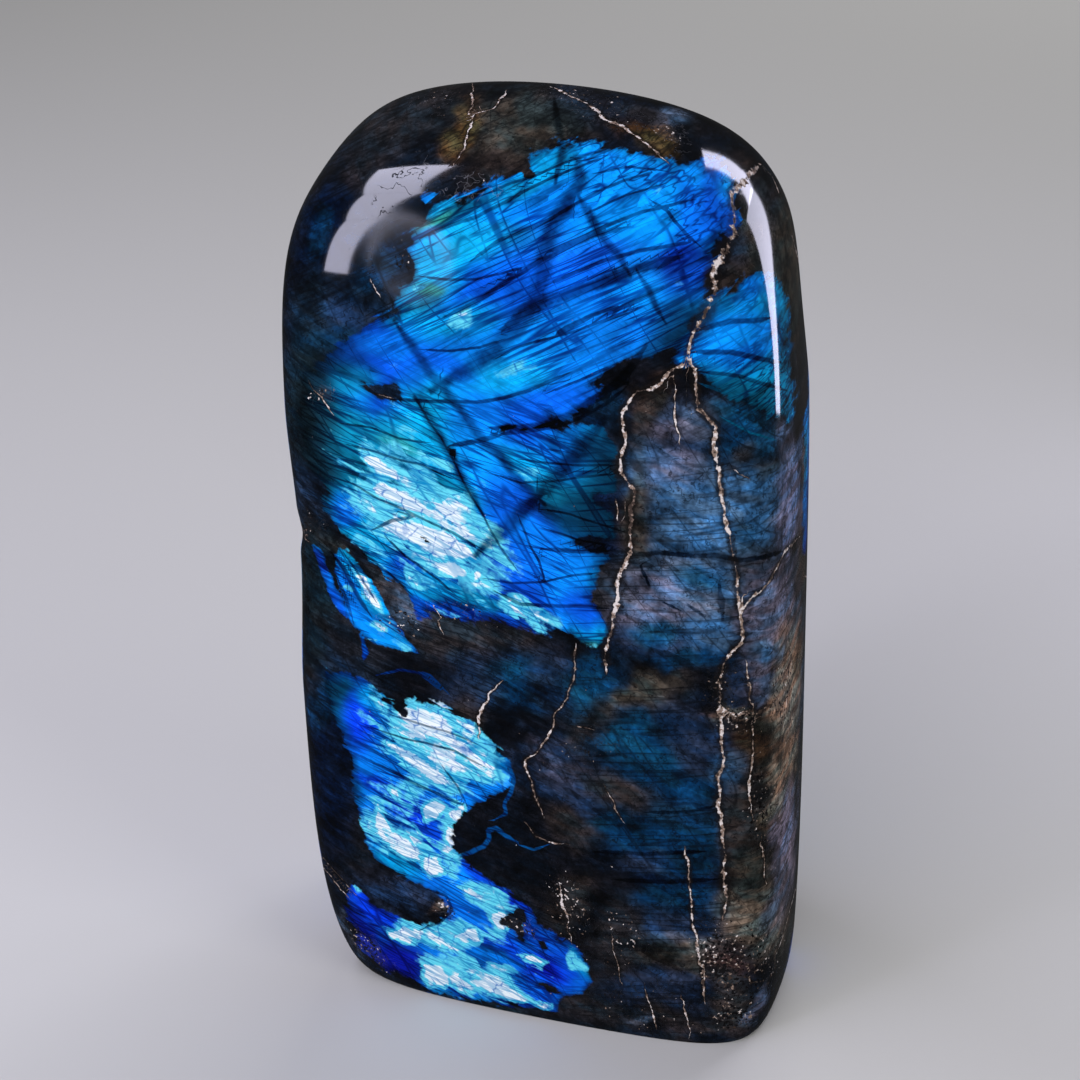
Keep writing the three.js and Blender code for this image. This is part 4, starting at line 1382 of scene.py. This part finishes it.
# The fields end in a sharp edge against the body, and the ribbons lie alone in it.
ribbon = along_line("ribbon", core=0.5, edge=1.3, ragged=0.8)
flash_share = node("MapRange", {"Value": splinters, "From Min": 0.6, "From Max": 0.75},
                   interpolation_type="SMOOTHSTEP")
flash_share = node("Math", {0: flash_share, 1: ribbon}, operation="MAXIMUM")
# The painted reflection of the colour play is laid over the body here.
colour = node("Mix", {0: flash_share, 6: body_shade, 7: lit}, 2, data_type="RGBA")

# Breaks in the cleavage, deep soft ones and sharp ones, take most of the light. Each kind
# is given by its core and edge in half widths, and by how ragged it is.
BREAK_KINDS = {"band": (0.3, 1.6, 0.6), "dark": (0.8, 1.6, 0.9)}
LIGHT_IN_BREAK = (0.02, 0.08, 0.14)
fading = node("MapRange", {"Value": cloud, "From Min": 0.35, "From Max": 0.6,
                           "To Min": 1.0, "To Max": 0.7})
for name, kind in BREAK_KINDS.items():
    share = node("Math", {0: along_line(name, *kind), 1: fading}, operation="MULTIPLY")
    darkened = node("Mix", {0: 1.0, 6: colour, 7: rgba(LIGHT_IN_BREAK)}, 2, data_type="RGBA",
                    blend_type="MULTIPLY")
    colour = node("Mix", {0: share, 6: colour, 7: darkened}, 2, data_type="RGBA")

# The vein filling is dark brown to tan and white, grain by grain, in a darker margin.
# The single grains drawn with the veins take the same colours, as painted glints.
VEIN_BROWN = linear("#3b2e27")
VEIN_TAN = linear("#8f7a6d")
VEIN_WHITE = linear("#d8cecb")
MARGIN_BROWN = linear("#120f0e")
margin = along_line("vein", core=1.2, edge=3.2, ragged=2.4)
margin = node("Math", {0: margin, 1: 0.7}, operation="MULTIPLY")
colour = node("Mix", {0: margin, 6: colour, 7: rgba(MARGIN_BROWN)}, 2, data_type="RGBA")
stretch = node("Math", {0: patchy, 1: 0.5}, operation="SUBTRACT")
grain = node("Math", {0: stretch, 1: 0.5, 2: grit}, operation="MULTIPLY_ADD")
to_tan = node("MapRange", {"Value": grain, "From Min": 0.4, "From Max": 0.48})
filling = node("Mix", {0: to_tan, 6: rgba(VEIN_BROWN), 7: rgba(VEIN_TAN)}, 2, data_type="RGBA")
to_white = node("MapRange", {"Value": grain, "From Min": 0.53, "From Max": 0.58})
filling = node("Mix", {0: to_white, 6: filling, 7: rgba(VEIN_WHITE)}, 2, data_type="RGBA")
uneven_edge = node("Math", {0: stretch, 1: -0.3, 2: bead}, operation="MULTIPLY_ADD")
vein = along_line("vein", core=0.3, edge=0.8, ragged=3.8, rough=uneven_edge)
colour = node("Mix", {0: vein, 6: colour, 7: filling}, 2, data_type="RGBA")

# Plucked grains leave pits, painted dark in their depth as painted shade. Pale grains
# between them are painted bright as glints, a painted highlight.
PIT_SHADE = linear("#0b090a")
pit_grain = node("TexNoise", {"Vector": in_mm, "Scale": 1 / PIT_GRAIN, "Detail": 1.0,
                              "Roughness": 0.7})
in_pit = node("Math", {0: kept["pits"], 1: 0.3, 2: pit_grain}, operation="MULTIPLY_ADD")
pit_share = node("MapRange", {"Value": in_pit, "From Min": 0.82, "From Max": 0.88})
# Painted shade in the depth of the pits.
colour = node("Mix", {0: pit_share, 6: colour, 7: rgba(PIT_SHADE)}, 2, data_type="RGBA")
# Painted glints: sparse specks in the filling colours, more of them in pitted places.
in_glint = node("Math", {0: kept["pits"], 1: 0.2}, operation="MULTIPLY")
in_glint = node("Math", {0: in_glint, 1: pit_grain}, operation="SUBTRACT")
glint = node("MapRange", {"Value": in_glint, "From Min": -0.19, "From Max": -0.15})
colour = node("Mix", {0: glint, 6: colour, 7: filling}, 2, data_type="RGBA")

# The gloss is lost in veins, pits, worn spots and the open cracks of flawed places, and
# the pits lie a little lower.
PIT_BUMP = 0.15
rough = node("Math", {0: vein, 1: pit_share}, operation="MAXIMUM")
rough = node("Math", {0: rough, 1: kept["worn"]}, operation="MAXIMUM")
flawed = node("MapRange", {"Value": kept["pits"], "From Min": 0.12, "From Max": 0.3})
open_crack = node("Math", {0: lines_in(crackle, 0.014), 1: flawed}, operation="MULTIPLY")
rough = node("Math", {0: rough, 1: open_crack}, operation="MAXIMUM")
roughness = node("MapRange", {"Value": rough, "To Min": POLISH, "To Max": UNPOLISHED})
height = node("Math", {0: pit_share, 1: -1.0}, operation="MULTIPLY")
bump = node("Bump", {"Height": height, "Strength": 0.6, "Distance": PIT_BUMP * MM})
surface = node("BsdfPrincipled", {"Base Color": colour, "Roughness": roughness, "Normal": bump,
                                  "IOR": FELDSPAR_IOR})
tree.links.new(surface, tree.nodes.new("ShaderNodeOutputMaterial").inputs["Surface"])
stone_mesh.materials.append(polished)

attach(stone, "root")
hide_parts(STONE_NODE)


# The floor is a plain pale tabletop of matt board, wide enough to run out of every view.
# It lights the stone but isn't mirrored in it, so that the polish looks as deep as in
# the photo. Metres across.
FLOOR_WIDTH = 8.0
BOARD_GREY = linear("#c4c3c1")
BOARD_ROUGHNESS = 0.85
half = FLOOR_WIDTH / 2
floor_mesh = bpy.data.meshes.new("floor")
floor_mesh.from_pydata([(-half, -half, 0), (half, -half, 0), (half, half, 0), (-half, half, 0)],
                       [], [(0, 1, 2, 3)])
floor = bpy.data.objects.new("floor", floor_mesh)
floor.visible_glossy = False
bpy.context.collection.objects.link(floor)
tabletop = bpy.data.materials.new("pale matt tabletop")
tabletop.use_nodes = True
tabletop_surface = tabletop.node_tree.nodes["Principled BSDF"]
tabletop_surface.inputs["Base Color"].default_value = rgba(BOARD_GREY)
tabletop_surface.inputs["Roughness"].default_value = BOARD_ROUGHNESS
floor_mesh.materials.append(tabletop)
floor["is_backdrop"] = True


# Soft studio light, each box given by its middle, the way its long side runs and what it
# faces, in mm. The stone mirrors a strip over its left shoulder and a strip in two lengths
# behind its right edge. The broad boxes light it and the floor, and aren't mirrored.
SHOULDER_HEIGHT = 130


def softbox(name, middle, along, size, glow, colour, faces=(0, 0, SHOULDER_HEIGHT), mirrored=True):
    """A rectangular light. size is its width and length in mm, and glow is how many
    times as bright as white paper in full light it looks."""
    lamp = bpy.data.lights.new(name, "AREA")
    lamp.shape = "RECTANGLE"
    lamp.size, lamp.size_y = size[0] * MM, size[1] * MM
    lamp.energy = glow * math.pi * lamp.size * lamp.size_y
    lamp.color = colour
    back = Vector(middle) - Vector(faces)
    long_side = Vector(along)
    long_side = (long_side - back * long_side.dot(back) / back.dot(back)).normalized()
    back.normalize()
    turned = Matrix((long_side.cross(back), long_side, back)).transposed().to_4x4()
    box = bpy.data.objects.new(name, lamp)
    box.matrix_world = Matrix.Translation(Vector(middle) * MM) @ turned
    box.visible_camera = False
    box.visible_glossy = mirrored
    bpy.context.collection.objects.link(box)


DAYLIGHT = (1.0, 1.0, 1.0)
COOL = (0.80, 0.79, 1.0)
# The left strip is bent to an arc over the shoulder, so it is made of flat lengths that
# meet at their ends. It comes in towards the stone a little as it rises.
ARC_RADIUS = 523
ARC_STARTS = 15.5
ARC_STEP = 38
ARC_LENGTHS = 3
ARC_CENTRE = (-362, -23, 143)
COMES_IN = 33
LEFT_STRIP_WIDTH = 130
LEFT_STRIP_GLOW = 8.5
strip_length = 2 * ARC_RADIUS * math.tan(math.radians(ARC_STEP / 2))
for i in range(ARC_LENGTHS):
    angle = math.radians(ARC_STARTS + i * ARC_STEP)
    ahead, above = math.cos(angle), math.sin(angle)
    centre = (ARC_CENTRE[0] + i * COMES_IN, ARC_CENTRE[1], ARC_CENTRE[2])
    middle = (centre[0], centre[1] - ARC_RADIUS * ahead, centre[2] + ARC_RADIUS * above)
    softbox("left strip", middle, (COMES_IN / strip_length, above, ahead),
            (LEFT_STRIP_WIDTH, strip_length), LEFT_STRIP_GLOW, COOL, centre)
softbox("upper right strip", middle=(191, 390, 405), along=(396, 163, -422), size=(46, 250),
        glow=8, colour=COOL, faces=(30, -8, 146))
softbox("lower right strip", middle=(210, 258, 136), along=(-0.094, 0.061, 1), size=(54, 259),
        glow=5, colour=COOL, faces=(34, -13, 134))
softbox("front softbox", middle=(-250, -1100, 620), along=(1, 0, 0), size=(700, 900),
        glow=4.5, colour=DAYLIGHT, mirrored=False)
softbox("right softbox", middle=(1000, -450, 500), along=(0, 0, 1), size=(600, 600),
        glow=4, colour=DAYLIGHT, mirrored=False)
softbox("rear softbox", middle=(300, 1500, 1100), along=(1, 0, 0), size=(900, 1400),
        glow=4, colour=DAYLIGHT, mirrored=False)

ROOM_LIGHT = 0.03
world = bpy.data.worlds.new("dim room")
bpy.context.scene.world = world
world.use_nodes = True
room = world.node_tree.nodes["Background"]
room.inputs["Color"].default_value = (1.0, 1.0, 1.0, 1.0)
room.inputs["Strength"].default_value = ROOM_LIGHT

low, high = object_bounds()
